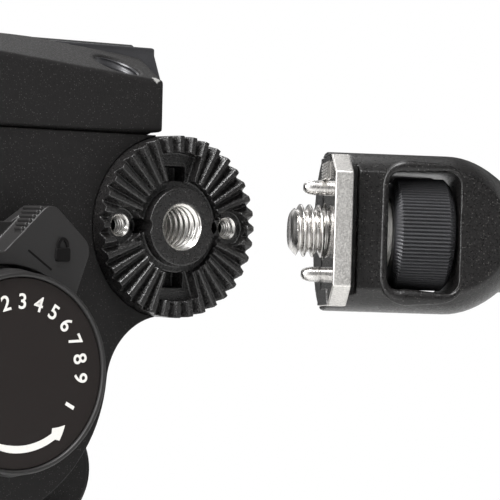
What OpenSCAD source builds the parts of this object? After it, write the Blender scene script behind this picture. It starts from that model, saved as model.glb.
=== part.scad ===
// Fluid video head with its pan bar lying apart, beside the rosette it screws into.
// Millimetres, +Z up, origin on the pan axis at the bottom of the base.
// +X is the operator's side (rear), -Y is the side of the tilt drag knob.

/* [Base and pan] */
// Radius of the flat base disc
base_r = 34; // [30:0.5:36]
// Thickness of the base disc
base_h = 9; // [8:0.5:12]
// Radius of the neck that the drag ring turns on
neck_r = 26; // [23:0.5:28]
// Step of the pan drag ring inside the skirt
ring_step = 0; // [0:0.1:2]
// Height of the pan drag ring
ring_h = 10; // [7:0.5:12]
// Radius of the pan spindle
spindle_r = 9; // [7:0.25:10]
// Swell of the pan body's side beyond the skirt
pan_swell = 2.4; // [1:0.1:6]
// Radius of the rounded side of the pan body
pan_round = 12; // [9:0.5:14]
// Radius of the lower skirt of the pan body
skirt_r = 36; // [33:0.5:38]
// Reach of the pan lock lever from its axis
pan_lever_l = 22; // [16:1:24]

/* [Tilt hub] */
// Height of the tilt axis above the base
tilt_z = 56; // [55:0.5:62]
// Radius of the hub drum
hub_r = 24; // [22:0.5:25]
// Width of the hub drum
hub_w = 42; // [40:1:48]
// Radius of the chamber inside the drum
chamber_r = 17; // [15:0.5:18]
// Radius of the tilt shaft
shaft_r = 8; // [7:0.25:8.5]
// Wall of the hub bushings
bush_t = 3; // [2:0.25:4]

/* [Cradle] */
// Radius of the cheek round the tilt axis
cheek_r = 26; // [25.5:0.25:26]
// Step of the cheeks' outer faces inside the skirt
cheek_step = 0.5; // [0:0.1:2]
// Height of the cradle's top above the tilt axis
cradle_h = 40.5; // [40:0.5:44]
// Thickness of the cradle's top beam
beam_t = 10.5; // [9:0.5:11]
// Front end of the cradle ahead of the tilt axis
cradle_front = 34; // [31:0.5:36]
// Rear end of the cradle behind the tilt axis
cradle_rear = 35; // [33:0.5:36]
// Radius of the hollow curve between the hub round and the rosette boss
cheek_fillet = 12; // [9:0.5:14]

/* [Rosette] */
// Distance of the rosette behind the tilt axis
ros_x = 38.2; // [37.5:0.1:42]
// Distance of the rosette's axis below the cradle's top
ros_drop = 15.9; // [15.7:0.1:16.5]
// Radius of the rosette
ros_r = 15.9; // [15.5:0.1:16]
// Height of the rosette from its back to its crests
ros_h = 6; // [5.5:0.1:7]
// Depth of the seat that the rosette's back sits in
ros_seat = 2.5; // [2:0.1:3]
// Number of teeth
teeth = 36; // [24:4:48]
// Depth of a tooth at the rim
tooth_d = 1.7; // [1:0.1:2]
// Half angle of the groove between two teeth
tooth_half = 30; // [20:1:32]
// Radius of the centre boss
boss_r = 6.8; // [6.4:0.1:7]
// Rise of the centre boss over the crests
boss_rise = 0.5; // [0:0.1:1]
// Width of the groove round the boss
boss_groove = 1.6; // [0.6:0.1:2]
// Radius of a tapped 3/8 inch hole
tap38_r = 4.15; // [4:0.05:4.3]
// Distance of a locating pin from the axis
pin_off = 7.8; // [7.5:0.1:8]
// Radius of a locating pin
pin_r = 1.35; // [1.2:0.05:1.5]
// Distance of a tapped M4 hole from the axis
m4_off = 11.4; // [11.2:0.1:11.8]
// Radius of a tapped M4 hole
m4_r = 1.65; // [1.5:0.05:1.75]

/* [Tilt controls] */
// Radius of the tilt drag knob
knob_r = 17; // [15:0.25:18]
// Depth of the tilt drag knob
knob_d = 9.2; // [7:0.2:11]
// Number of flats on the knob's side
knob_flats = 14; // [10:2:18]
// Radius of the printed dial
dial_r = 15.6; // [13:0.1:16]
// Thickness of the lock lever's plate
lever_t = 4; // [3:0.25:5]
// Reach of the lock lever's crown from the axis
lever_reach = 25.2; // [24:0.2:25.6]
// Radius of the counterbalance knob
bal_r = 18; // [15:0.5:20]
// Depth of the counterbalance knob
bal_d = 11; // [8:0.5:13]

/* [Plate clamp] */
// Step of the clamp's sides over the cheeks' outer faces
clamp_step = 0.5; // [0:0.1:2]
// Front end of the clamp ahead of the tilt axis
clamp_front = 46; // [42:1:50]
// Rear end of the clamp behind the tilt axis
clamp_rear = 36; // [34:0.1:38]
// Reach of the clamp's middle past the rear ends of its sides
clamp_slant = 3; // [1:0.5:4]
// Thickness of the clamp's floor
floor_t = 7.2; // [7:0.1:8]
// Height of the seam between cradle and clamp
seam_h = 0.5; // [0.3:0.1:0.8]
// Height of a rail's side over the tilt axis
rail_side = 12.3; // [11.5:0.1:13]
// Fall of the rail's top towards its rear end
rail_fall = 5.4; // [0:0.1:6]
// Slope of the rail's bevelled top
rail_bevel = 23.5; // [20:0.5:28]
// Radius of the rail's tapped 3/8 inch hole
rail_tap_r = 3.95; // [3.9:0.05:4.1]
// Distance of the rail's tapped hole from the clamp's rear end
rail_hole = 6.6; // [5:0.1:12]
// Distance of the rail's tapped hole from the rail's side
rail_hole_in = 5; // [5:0.05:5.2]

/* [Camera plate] */
// Length of the sliding plate
plate_l = 100; // [90:1:110]
// Overhang of the plate behind the clamp
plate_over = 6.8; // [5:0.2:20]
// Width of the plate at its foot
plate_w = 52; // [48:1:54]
// Thickness of the plate
plate_t = 8.3; // [8:0.1:9]
// Step in of the dovetail on each side
dove = 2.75; // [1.5:0.25:3]
// Thickness of the rubber strips
pad_t = 0.7; // [0.5:0.1:1.2]
// Radius of the 1/4 inch camera screw
cam14_r = 3.175; // [3:0.005:3.3]
// Radius of the 3/8 inch camera screw
cam38_r = 4.7625; // [4.6:0.0025:4.9]

/* [Pan bar] */
// Distance of the bar's screw tip behind the rosette's axis
bar_behind = 23.8; // [20:0.1:32]
// Step of the bar's screw tip inside the rosette's crests
bar_step = 0.1; // [-7:0.1:3]
// Turn of the bar about the vertical
bar_turn = -30.6; // [-45:0.1:-25]
// Dip of the bar
bar_dip = 0.6; // [0:0.1:3]
// Roll of the bar about its own axis
bar_roll = -2; // [-8:0.1:8]
// Radius of the bar's clamp screw
bar_screw_r = 4.7625; // [4.6:0.0025:4.9]
// Length of the screw in front of the locating plate
screw_out = 6.4; // [6:0.1:9]
// Length of the locating pins in front of the plate
pins_out = 3.9; // [3:0.1:5]
// Thickness of the locating plate
loc_t = 3.3; // [2.6:0.1:4]
// Radius of the bar's housing
house_r = 14.3; // [13.8:0.1:15]
// Half width across the housing's flats
house_flat = 9.8; // [9.6:0.1:10.2]
// Radius of the thumb wheel
wheel_r = 10.1; // [9.8:0.05:10.5]
// Width of the thumb wheel
wheel_w = 11.1; // [8:0.1:12]
// Radius of the bar's tube
tube_r = 8; // [7:0.25:8.5]
// Wall of the bar's tube
tube_wall = 1.5; // [1:0.1:2]
// Length of the grip
grip_l = 108; // [80:1:130]
// Radius of the grip
grip_r = 13; // [11:0.25:14]

/* [Clearances] */
// Gap between bodies that move past each other
gap = 0.4; // [0.3:0.05:0.6]
// Radial clearance of a running shaft
run = 0.05; // [0.02:0.01:0.1]
// Radial clearance of pieces fixed into each other
fit = 0.02; // [0.01:0.01:0.05]

/* [Hidden] */
$fn = 64;
eps = 0.1;
far = 200;

// Heights of the base and pan stack
neck_z = base_h + ring_h + 2 * gap;
pan_z = neck_z + gap;
shelf_z = tilt_z - cheek_r - gap;
bulge_drop = 19;
bulge_z = tilt_z - bulge_drop;
pan_drop = 10;
pan_top = tilt_z - pan_drop;
ring_r = skirt_r - ring_step;
pan_r = skirt_r + pan_swell;
bearing_h = 2.7;
bearing_w = 10;
bearing_r = spindle_r + bearing_w;
insert_r = 8;
insert_h = 7.5;
insert_lip_r = 11;
insert_lip_h = 2;
spindle_z = base_h + 0.5;
nut_lift = 11;
nut_z = neck_z + nut_lift;
nut_h = 5;
nut_w = 3.5;
nut_r = spindle_r + nut_w;
spindle_over = 1;
spindle_top = nut_z + nut_h + spindle_over;

// The pan lock lever's axis
plock_z = (pan_z + shelf_z) / 2;
plock_r = 3;
plock_hub_r = 4.2;
plock_hub_l = 8;
plock_depth = 9;

// Stations along the tilt axis
hub_half = hub_w / 2;
cheek_in = hub_half + gap;
cheek_out = skirt_r - cheek_step;
cheek_t = cheek_out - cheek_in;
cover_t = 5;
bush_r = shaft_r + bush_t;
chamber_far = hub_half - bush_t * 3;
cart_l = (hub_half - cover_t + chamber_far - 3 * gap) / 2;
journal_r = shaft_r - 2;
knob_in = cheek_out + gap + lever_t + gap;
knob_out = knob_in + knob_d;
knob_bore = journal_r - 2;
knob_wall = 3;
dial_t = 0.8;
dial_sink = 0.5;
bal_out = cheek_out + gap + bal_d;
bal_wall = 3;

// The rosette
ros_z = cradle_h - ros_drop;
seat_gap = 0.05;
boss_in = 0.3;
seat_y = cheek_out - ros_seat;
seat_r = ros_r + seat_gap;
crest = seat_y + ros_h;
tooth_pitch = 360 / teeth;
m4_pocket_r = 3.1;
m4_pocket_d = 2.1;
m4_sink = 0.35;
pocket_d = 2.2;
boss_groove_d = 1.6;
pocket_half = 19;
pocket_r = 13;
key_w = 4.4;
key_l = 2.6;
key_d = 5.4;
back_off = 11.3;
back_r = 1.5;
back_head_r = 2.75;
back_head_h = 3;
back_depth = 2.6;

// The clamp and the plate
clamp_z = tilt_z + cradle_h + seam_h;
floor_z = clamp_z + floor_t;
plate_z = floor_z + gap * 0.75;
plate_top = plate_z + plate_t;
plate_x1 = clamp_rear + plate_over;
plate_x0 = plate_x1 - plate_l;
plate_half = plate_w / 2;
dove_foot = 1.3;
dove_h = 5.7;
slide_gap = gap * 0.75;
rail_in = plate_half + slide_gap;
rail_over = 0.4;
rail_top = plate_top + rail_over;
clamp_half = cheek_out + clamp_step;
slant_w = 12;
foot_in = 0.8;
rail_floor = 1.4;
pad_in = 8.5;
pad_w = 11;
pad_end = 2;
cscrew_r = 2;
cscrew_head_r = 3.5;
cscrew_head_h = 4;
cscrew_x = 25;
cscrew_y = 14;

// The plate lock
lock_x = -20;
lock_z = clamp_z + 4.6;
shoe_l = 16;
shoe_t = 5.5;
shoe_y = plate_half + gap;
shoe_travel = 0.8;
shoe_top = plate_z + dove_foot - 0.1;
stem_r = 3;
lock_hub_r = 7;
lock_hub_l = 8;
lock_arm = 30;

// The safety button
button_x = 18;
button_z = clamp_z + 4.6;
button_r = 4;
button_out = 2.5;
button_travel = 2;
button_stem_r = 2.2;
button_stem_l = 6;

// The camera screws
cam14_x = -2;
cam38_x = -26;
slot_travel = 7;
cam_head_r = 7.5;
cam_head_h = 2.4;
cam_stand = 5.8;
relief = 0.6;

// The bar, along its own axis from the screw's tip
bar_x = ros_x + bar_behind;
bar_y = bar_step - crest;
bar_z = tilt_z + ros_z;
loc_x = screw_out;
loc_back = loc_x + loc_t;
loc_half_z = 13.5;
loc_near = 13;
loc_far = 5;
loc_chamfer = 3.4;
wheel_gap = 1.4;
wheel_clear = 0.8;
web_t = 6.8;
win_x = loc_back + web_t;
wheel_x = win_x + wheel_gap;
win_l = wheel_gap + wheel_w + gap;
win_half = wheel_r + wheel_clear;
ogive_in = 1;
ogive_x = win_x + win_l - ogive_in;
ogive_l = 10;
neck_bar_r = 10;
neck_bar_l = 13;
ogive_end = ogive_x + ogive_l;
house_end = ogive_end + neck_bar_l;
journal_bar_r = 3.5;
washer_r = 6.3;
screw_head_x = loc_back + 1.6;
screw_end = win_x + win_l + 4;
tube_x = ogive_end - 2;
grip_gap = 10;
grip_x = house_end + grip_gap;
grip_end = grip_x + grip_l;
cap_l = 4;
tube_end = grip_end + 1.5;
ogive_steps = 8;

// Places
module at_tilt() {
    translate([0, 0, tilt_z]) children();
}

// A cylinder along Y between two stations
module ycyl(r, y0, y1) {
    translate([0, y0, 0])
        rotate([-90, 0, 0])
            cylinder(r = r, h = y1 - y0);
}

// A cylinder along X between two stations
module xcyl(r, x0, x1) {
    translate([x0, 0, 0])
        rotate([0, 90, 0])
            cylinder(r = r, h = x1 - x0);
}

// A tube standing on Z
module ztube(ro, ri, z0, z1) {
    translate([0, 0, z0])
        difference() {
            cylinder(r = ro, h = z1 - z0);
            translate([0, 0, -eps])
                cylinder(r = ri, h = z1 - z0 + 2 * eps);
        }
}

// A plate drawn in X and Z, between two Y stations
module yplate(y0, y1) {
    translate([0, y1, 0])
        rotate([90, 0, 0])
            linear_extrude(y1 - y0) children();
}

// A long shape drawn in Y and Z, between two X stations
module xplate(x0, x1) {
    translate([x0, 0, 0])
        rotate([90, 0, 90])
            linear_extrude(x1 - x0) children();
}

// A slot with round ends, drawn flat
module slot2d(l, w) {
    square([l, w], center = true);
    for (s = [-1, 1])
        translate([s * l / 2, 0])
            circle(d = w);
}

module bar_place() {
    translate([bar_x, bar_y, bar_z])
        rotate([bar_roll, bar_dip, bar_turn])
            children();
}

// Base and pan
module base_plate() {
    color("dimgray")
        difference() {
            union() {
                cylinder(r = base_r, h = base_h);
                cylinder(r = neck_r, h = neck_z);
            }
            translate([0, 0, -eps]) {
                cylinder(r = insert_r + fit, h = insert_h + eps);
                cylinder(r = insert_lip_r + fit, h = insert_lip_h + eps);
            }
            translate([0, 0, spindle_z])
                cylinder(r = spindle_r + fit, h = far);
        }
}

module base_insert() {
    color("silver")
        difference() {
            union() {
                cylinder(r = insert_r, h = insert_h);
                cylinder(r = insert_lip_r, h = insert_lip_h);
            }
            translate([0, 0, -eps])
                cylinder(r = tap38_r, h = insert_h + 2 * eps);
        }
}

module pan_spindle() {
    color("silver")
        translate([0, 0, spindle_z])
            cylinder(r = spindle_r, h = spindle_top - spindle_z);
}

module pan_bearing() {
    color("goldenrod")
        ztube(bearing_r, spindle_r + fit, neck_z, neck_z + bearing_h);
}

module pan_nut() {
    color("silver")
        ztube(nut_r, spindle_r + fit, nut_z, nut_z + nut_h);
}

module pan_drag_ring() {
    color("darkslategray")
        ztube(ring_r, neck_r + gap, base_h + gap, base_h + gap + ring_h);
}

// Half outline of the pan body: skirt below, rounded side above
module pan_half2d() {
    translate([0, pan_z])
        square([skirt_r, shelf_z - pan_z]);
    intersection() {
        union() {
            translate([pan_r - pan_round, bulge_z])
                circle(r = pan_round);
            translate([0, bulge_z - pan_round])
                square([pan_r - pan_round, 2 * pan_round]);
        }
        translate([0, shelf_z - eps])
            square([far, pan_top - shelf_z + eps]);
    }
}

module pan_body() {
    color("gray")
        difference() {
            union() {
                intersection() {
                    rotate_extrude() pan_half2d();
                    union() {
                        cylinder(r = far, h = shelf_z);
                        translate([-far, -hub_half, 0])
                            cube([2 * far, hub_w, far]);
                    }
                }
                at_tilt() ycyl(hub_r, -hub_half, hub_half);
            }
            at_tilt() {
                ycyl(chamber_r, -hub_half - eps, chamber_far);
                ycyl(bush_r, 0, hub_half + eps);
            }
            translate([0, 0, pan_z - eps]) {
                cylinder(r = bearing_r + gap, h = bearing_h + eps);
                cylinder(r = spindle_r + run, h = nut_z);
            }
            translate([0, 0, nut_z - gap])
                cylinder(r = nut_r + gap, h = tilt_z - chamber_r + 2 - nut_z);
            translate([0, 0, plock_z])
                xcyl(plock_r + run, -far, -skirt_r + plock_depth);
        }
}

module pan_lock_lever() {
    x0 = -skirt_r - gap - plock_hub_l;
    color("black")
        translate([0, 0, plock_z]) {
            xcyl(plock_r, -skirt_r - gap - eps, -skirt_r + plock_depth - gap);
            xcyl(plock_hub_r, x0, -skirt_r - gap);
            translate([x0, 0, -plock_hub_r * 0.7])
                cube([plock_hub_l * 0.55, pan_lever_l, plock_hub_r * 1.4]);
        }
}

// Tilt hub
module hub_cover() {
    color("lightgray")
        at_tilt()
            difference() {
                ycyl(chamber_r - fit, -hub_half, -hub_half + cover_t);
                ycyl(bush_r, -hub_half - eps, -hub_half + cover_t + eps);
            }
}

module hub_bushings() {
    color("goldenrod")
        at_tilt() {
            difference() {
                ycyl(bush_r - fit, -hub_half, -hub_half + cover_t);
                ycyl(shaft_r + run, -far, far);
            }
            difference() {
                ycyl(bush_r - fit, chamber_far, hub_half);
                ycyl(shaft_r + run, -far, far);
            }
        }
}

module cartridge(y0) {
    at_tilt()
        difference() {
            ycyl(chamber_r - fit, y0, y0 + cart_l);
            ycyl(shaft_r + gap, -far, far);
        }
}

module damper_cartridge() {
    color("steelblue")
        cartridge(-hub_half + cover_t + gap);
}

module spring_cartridge() {
    color("seagreen")
        cartridge(-hub_half + cover_t + 2 * gap + cart_l);
}

// Cradle
boss_out = ros_r - boss_in;
reach_a = cheek_r + cheek_fillet;
reach_b = boss_out + cheek_fillet;
ros_d = sqrt(ros_x * ros_x + ros_z * ros_z);
fil_a = (reach_a * reach_a - reach_b * reach_b + ros_d * ros_d) / (2 * ros_d);
fil_h = sqrt(reach_a * reach_a - fil_a * fil_a);
fil_x = (fil_a * ros_x + fil_h * ros_z) / ros_d;
fil_z = (fil_a * ros_z - fil_h * ros_x) / ros_d;

module cheek2d() {
    circle(r = cheek_r);
    translate([ros_x, ros_z])
        circle(r = boss_out);
    difference() {
        polygon([[0, 0], [fil_x, fil_z], [ros_x, ros_z], [cradle_rear, cradle_h],
            [-cradle_front, cradle_h], [-cradle_front, cradle_h - beam_t * 2], [-cheek_r, 0]]);
        translate([fil_x, fil_z])
            circle(r = cheek_fillet);
    }
}

module back_holes(r, y0, y1) {
    for (a = [45:90:315])
        translate([ros_x + back_off * cos(a), 0, tilt_z + ros_z + back_off * sin(a)])
            ycyl(r, y0, y1);
}

module clamp_holes(r, z0, z1) {
    for (x = [-cscrew_x, cscrew_x], y = [-cscrew_y, cscrew_y])
        translate([x, y, z0])
            cylinder(r = r, h = z1 - z0);
}

module cradle() {
    color("dimgray")
        difference() {
            for (y = [-cheek_out, cheek_in])
                at_tilt()
                    yplate(y, y + cheek_t) cheek2d();
            at_tilt() ycyl(shaft_r + fit, -far, far);
            translate([ros_x, 0, tilt_z + ros_z]) {
                ycyl(tap38_r, -far, far);
                ycyl(seat_r, -far, -seat_y);
                ycyl(seat_r, seat_y, far);
            }
            back_holes(back_r + fit, -far, far);
            back_holes(back_head_r + gap, -cheek_in - back_head_h, cheek_in + back_head_h);
        }
}

module cradle_beam() {
    beam_z = tilt_z + cradle_h - beam_t;
    color("dimgray")
        difference() {
            translate([-cradle_front, -cheek_in, beam_z])
                cube([cradle_front + cradle_rear, 2 * cheek_in, beam_t]);
            clamp_holes(cscrew_r + fit, beam_z - eps, far);
            clamp_holes(cscrew_head_r + gap, beam_z - eps, beam_z + cscrew_head_h);
        }
}

module tilt_shaft() {
    color("silver")
        at_tilt() {
            ycyl(shaft_r, -cheek_out, cheek_out);
            ycyl(journal_r, -knob_in + gap, cheek_out + bal_d - bal_wall);
            ycyl(knob_bore, -knob_out + knob_wall, 0);
        }
}

// The toothed face, lying at the origin with its crests at height 0
module rosette_face() {
    groove_fall = atan(tooth_d / ros_r);
    groove_half = tooth_d * tan(tooth_half);
    key_x = boss_r + boss_groove * 0.75;
    difference() {
        union() {
            translate([0, 0, -ros_h])
                cylinder(r = ros_r, h = ros_h);
            cylinder(r = boss_r, h = boss_rise);
        }
        for (i = [0:teeth - 1])
            rotate([0, 0, (i + 0.5) * tooth_pitch])
                intersection() {
                    rotate([0, groove_fall, 0])
                        rotate([90, 0, 90])
                            linear_extrude(ros_r * 1.2)
                                polygon([[0, 0], [groove_half * 2, tooth_d * 2],
                                    [-groove_half * 2, tooth_d * 2]]);
                    translate([boss_r + boss_groove / 2, -ros_r / 2, -ros_h])
                        cube([ros_r, ros_r, ros_h + fit]);
                }
        translate([0, 0, -boss_groove_d])
            ztube(boss_r + boss_groove, boss_r, 0, ros_h);
        translate([0, 0, -ros_h - eps])
            cylinder(r = tap38_r, h = far);
        for (a = [0, 180])
            rotate([0, 0, a]) {
                translate([pin_off, 0, -ros_h + 1])
                    cylinder(r = pin_r + 0.15, h = far);
                translate([m4_off, 0, -ros_h - eps])
                    cylinder(r = m4_r, h = far);
                translate([m4_off, 0, -m4_pocket_d - m4_sink])
                    cylinder(r1 = m4_r, r2 = m4_r + 2 * m4_sink, h = 2 * m4_sink);
                translate([m4_off, 0, -m4_pocket_d])
                    cylinder(r = m4_pocket_r, h = far);
                rotate([0, 0, 90 - pocket_half])
                    translate([0, 0, -pocket_d])
                        rotate_extrude(angle = 2 * pocket_half)
                            translate([key_x, 0])
                                square([pocket_r - key_x, ros_h]);
                rotate([0, 0, 90])
                    translate([key_x, -key_w / 2, -key_d])
                        cube([key_l, key_w, ros_h]);
            }
    }
}

module rosette(side) {
    translate([ros_x, side * crest, tilt_z + ros_z])
        rotate([side > 0 ? -90 : 90, 0, 0])
            rosette_face();
}

module rosette_near() {
    color("darkslategray")
        difference() {
            rosette(-1);
            back_holes(back_r, -seat_y - back_depth, 0);
        }
}

module rosette_far() {
    color("darkslategray")
        difference() {
            rosette(1);
            back_holes(back_r, 0, seat_y + back_depth);
        }
}

module rosette_screws() {
    head_y = cheek_in + back_head_h;
    tip_y = seat_y + back_depth - gap;
    color("silver") {
        back_holes(back_r - fit, -tip_y, -head_y + eps);
        back_holes(back_head_r, -head_y, -cheek_in - gap);
        back_holes(back_r - fit, head_y - eps, tip_y);
        back_holes(back_head_r, cheek_in + gap, head_y);
    }
}

// Tilt controls
lever_base = cheek_out + gap;
lever_rise = 4;
lever_face = lever_base + lever_t + lever_rise;
lever_cut = 3;
crown_x = 8.6;
crown_r = 2.2;
nose_x = 13.2;
nose_drop = 5.3;
nose_r = 3;
nose_z = lever_reach - nose_drop;
side_a = acos((crown_r - nose_r) / norm([nose_x - crown_x, nose_drop])) - atan(nose_drop / (nose_x - crown_x));
ramp_a = 44;
ramp_l = 6;
tab_x = -6.5;
tab_floor = lever_reach - 5.4;
flange_t = 2.5;
flange_top = lever_reach - 0.5;
rib_n = 6;
rib_r = 0.45;
rib_step = ramp_l / rib_n;
rib_l = 6;
rib_less = 0.65;

// A point on the round of the crown or the nose, at an angle from +X
function crown(a) = [crown_x + crown_r * cos(a), lever_reach + crown_r * sin(a)];
function nose(a) = [nose_x + nose_r * cos(a), nose_z + nose_r * sin(a)];
// A point down the thumb ramp, from its top
function ramp(l) = crown(90 + ramp_a) - l * [cos(ramp_a), sin(ramp_a)];

module lever2d() {
    circle(r = knob_r - lever_cut);
    translate([crown_x, lever_reach])
        circle(r = crown_r);
    translate([nose_x, nose_z])
        circle(r = nose_r);
    polygon([crown(side_a), crown(90 + ramp_a), ramp(ramp_l), [ramp(ramp_l)[0] - lever_cut, tab_floor],
        [tab_x, tab_floor - 0.5], [tab_x, knob_r * 0.5], [nose_x - 1, knob_r * 0.5], nose(-20),
        nose(side_a)]);
}

// The thin flange behind the thumb ramp
module flange2d() {
    polygon([[tab_x, knob_r * 0.5], [tab_x, flange_top - 1], [tab_x + 1, flange_top],
        [ramp(ramp_l * 0.7)[0], flange_top], crown(90 + ramp_a), crown(90), [crown_x, knob_r * 0.5]]);
}

module tilt_lock_lever() {
    color("black")
        at_tilt() {
            difference() {
                union() {
                    yplate(-lever_base - lever_t, -lever_base) lever2d();
                    yplate(-lever_base - flange_t, -lever_base) flange2d();
                    difference() {
                        yplate(-lever_face, -lever_base) lever2d();
                        ycyl(knob_r + gap * 1.5, -far, far);
                    }
                }
                ycyl(journal_r + run, -far, far);
            }
            for (i = [0:rib_n - 1])
                translate([ramp(i * rib_step)[0], 0, ramp(i * rib_step)[1]])
                    ycyl(rib_r, -lever_face + rib_r, -lever_face + rib_l - i * rib_less);
        }
}

module knob_side2d() {
    difference() {
        circle(r = knob_r);
        for (i = [0:knob_flats - 1])
            rotate(i * 360 / knob_flats)
                translate([knob_r + knob_r * 0.36, 0])
                    circle(r = knob_r * 0.4);
    }
}

module drag_knob() {
    lip = 2.2;
    lip_in = 0.6;
    color("black")
        at_tilt()
            difference() {
                union() {
                    yplate(-knob_out + lip, -knob_in) knob_side2d();
                    ycyl(knob_r - lip_in, -knob_out, -knob_out + lip);
                }
                ycyl(knob_bore + run, -knob_out + knob_wall - gap, 0);
                ycyl(dial_r + fit, -far, -knob_out + dial_sink + dial_t);
            }
}

module drag_dial() {
    color("darkgray")
        at_tilt()
            ycyl(dial_r, -knob_out + dial_sink, -knob_out + dial_sink + dial_t);
}

module counterbalance_knob() {
    color("black")
        at_tilt()
            difference() {
                ycyl(bal_r, cheek_out + gap, bal_out);
                ycyl(journal_r + run, 0, cheek_out + bal_d - bal_wall + gap);
                ycyl(bal_r * 0.75 + fit, bal_out - dial_sink - dial_t, far);
                for (i = [0:7])
                    rotate([0, i * 45 + 22.5, 0])
                        translate([bal_r + 3.5, 0, 0])
                            ycyl(5, cheek_out - eps, bal_out - 2.2);
            }
}

module counterbalance_dial() {
    color("darkgray")
        at_tilt()
            ycyl(bal_r * 0.75, bal_out - dial_sink - dial_t, bal_out - dial_sink);
}

// Plate clamp
module plate2d(g) {
    top = plate_half - dove + g;
    foot = plate_half + g;
    polygon([[-foot, plate_z - g], [foot, plate_z - g], [foot, plate_z + dove_foot],
        [top, plate_z + dove_h + dove_foot], [top, plate_top + (g > 0 ? far : 0)],
        [-top, plate_top + (g > 0 ? far : 0)], [-top, plate_z + dove_h + dove_foot],
        [-foot, plate_z + dove_foot]]);
}

// Half space over a rail's bevel, through its lower edge
module rail_cut(side, fall) {
    translate([0, side * clamp_half, clamp_z + rail_side])
        rotate([0, fall, 0])
            rotate([-side * rail_bevel, 0, 0])
                translate([-far / 2, side > 0 ? -far * 0.4 : -far * 0.1, 0])
                    cube([far, far * 0.5, far]);
}

module clamp_body() {
    color("gray")
        difference() {
            union() {
                translate([0, 0, clamp_z])
                    linear_extrude(rail_top - clamp_z)
                        polygon([[-clamp_front, -clamp_half], [clamp_rear, -clamp_half],
                            [clamp_rear + clamp_slant, -clamp_half + slant_w],
                            [clamp_rear + clamp_slant, clamp_half - slant_w], [clamp_rear, clamp_half],
                            [-clamp_front, clamp_half]]);
                translate([-cradle_front + foot_in, -cheek_out + foot_in, clamp_z - seam_h])
                    cube([cradle_front + cradle_rear - 2 * foot_in, 2 * (cheek_out - foot_in),
                        seam_h + eps]);
            }
            xplate(-far, far) plate2d(slide_gap);
            for (s = [-1, 1]) {
                rail_cut(s, 0);
                rail_cut(s, rail_fall);
            }
            translate([clamp_rear - rail_hole, -clamp_half + rail_hole_in, clamp_z + rail_floor])
                cylinder(r = rail_tap_r, h = far);
            clamp_holes(cscrew_r, 0, clamp_z + 6);
            translate([lock_x - shoe_l / 2 - gap, shoe_y - gap, clamp_z - far])
                cube([shoe_l + 2 * gap, shoe_t + shoe_travel + 3 * gap, far + shoe_top - clamp_z + gap]);
            translate([lock_x, 0, lock_z])
                ycyl(stem_r + run, rail_in, far);
            translate([button_x, 0, button_z]) {
                ycyl(button_r + gap, clamp_half - button_travel - 1.6, far);
                ycyl(button_stem_r + run, clamp_half - button_travel - button_stem_l - 2, far);
            }
        }
}

module clamp_screws() {
    beam_z = tilt_z + cradle_h - beam_t;
    color("silver") {
        clamp_holes(cscrew_r - fit, beam_z + cscrew_head_h - eps, clamp_z + 5);
        clamp_holes(cscrew_head_r, beam_z + gap, beam_z + cscrew_head_h);
    }
}

module clamp_shoe() {
    color("goldenrod")
        translate([lock_x - shoe_l / 2, shoe_y, clamp_z + gap])
            cube([shoe_l, shoe_t, shoe_top - clamp_z - gap]);
}

module plate_lock_lever() {
    hub_y = clamp_half + gap;
    color("black")
        translate([lock_x, 0, lock_z]) {
            ycyl(stem_r, shoe_y + shoe_t + shoe_travel + gap, hub_y + eps);
            ycyl(lock_hub_r, hub_y, hub_y + lock_hub_l);
            yplate(hub_y + 1.5, hub_y + lock_hub_l - 1)
                polygon([[0, lock_hub_r - 0.4], [0, -lock_hub_r + 0.4], [-lock_arm, -3.6],
                    [-lock_arm - 2, -1.6], [-lock_arm - 2, 1.6], [-lock_arm, 3.6]]);
        }
}

module safety_button() {
    y1 = clamp_half + button_out;
    y0 = clamp_half - 1;
    color("firebrick")
        translate([button_x, 0, button_z]) {
            ycyl(button_r, y0, y1);
            ycyl(button_stem_r, y0 - button_stem_l, y0 + eps);
        }
}

// Camera plate
module sliding_plate() {
    head_z = plate_z + cam_head_h + 2 * gap;
    color("lightslategray")
        difference() {
            xplate(plate_x0, plate_x1) plate2d(0);
            for (c = [[cam14_x, cam14_r], [cam38_x, cam38_r]])
                translate([c[0], 0, 0]) {
                    linear_extrude(far) slot2d(slot_travel, 2 * c[1] + 2 * gap);
                    linear_extrude(head_z) slot2d(slot_travel, 2 * cam_head_r + 2 * gap);
                }
        }
}

module plate_pads() {
    color("darkslategray")
        for (s = [-1, 1])
            translate([plate_x0 + pad_end, s * (pad_in + pad_w / 2) - pad_w / 2, plate_top])
                cube([plate_l - 2 * pad_end, pad_w, pad_t]);
}

module camera_screw(x, r) {
    color("silver")
        translate([x, 0, plate_z + gap]) {
            cylinder(r = cam_head_r, h = cam_head_h);
            cylinder(r = r - relief, h = plate_t + eps);
            translate([0, 0, plate_t])
                cylinder(r = r, h = cam_stand);
        }
}

module camera_screw_quarter() {
    camera_screw(cam14_x, cam14_r);
}

module camera_screw_three_eighths() {
    camera_screw(cam38_x, cam38_r);
}

// Pan bar
function ogive(t) = house_r - (house_r - neck_bar_r) * t * t;

module house_half2d() {
    polygon(concat([[0, loc_back], [house_r, loc_back]],
        [for (i = [0:ogive_steps])
            [ogive(i / ogive_steps), ogive_x + ogive_l * i / ogive_steps]],
        [[neck_bar_r, house_end], [0, house_end]]));
}

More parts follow.
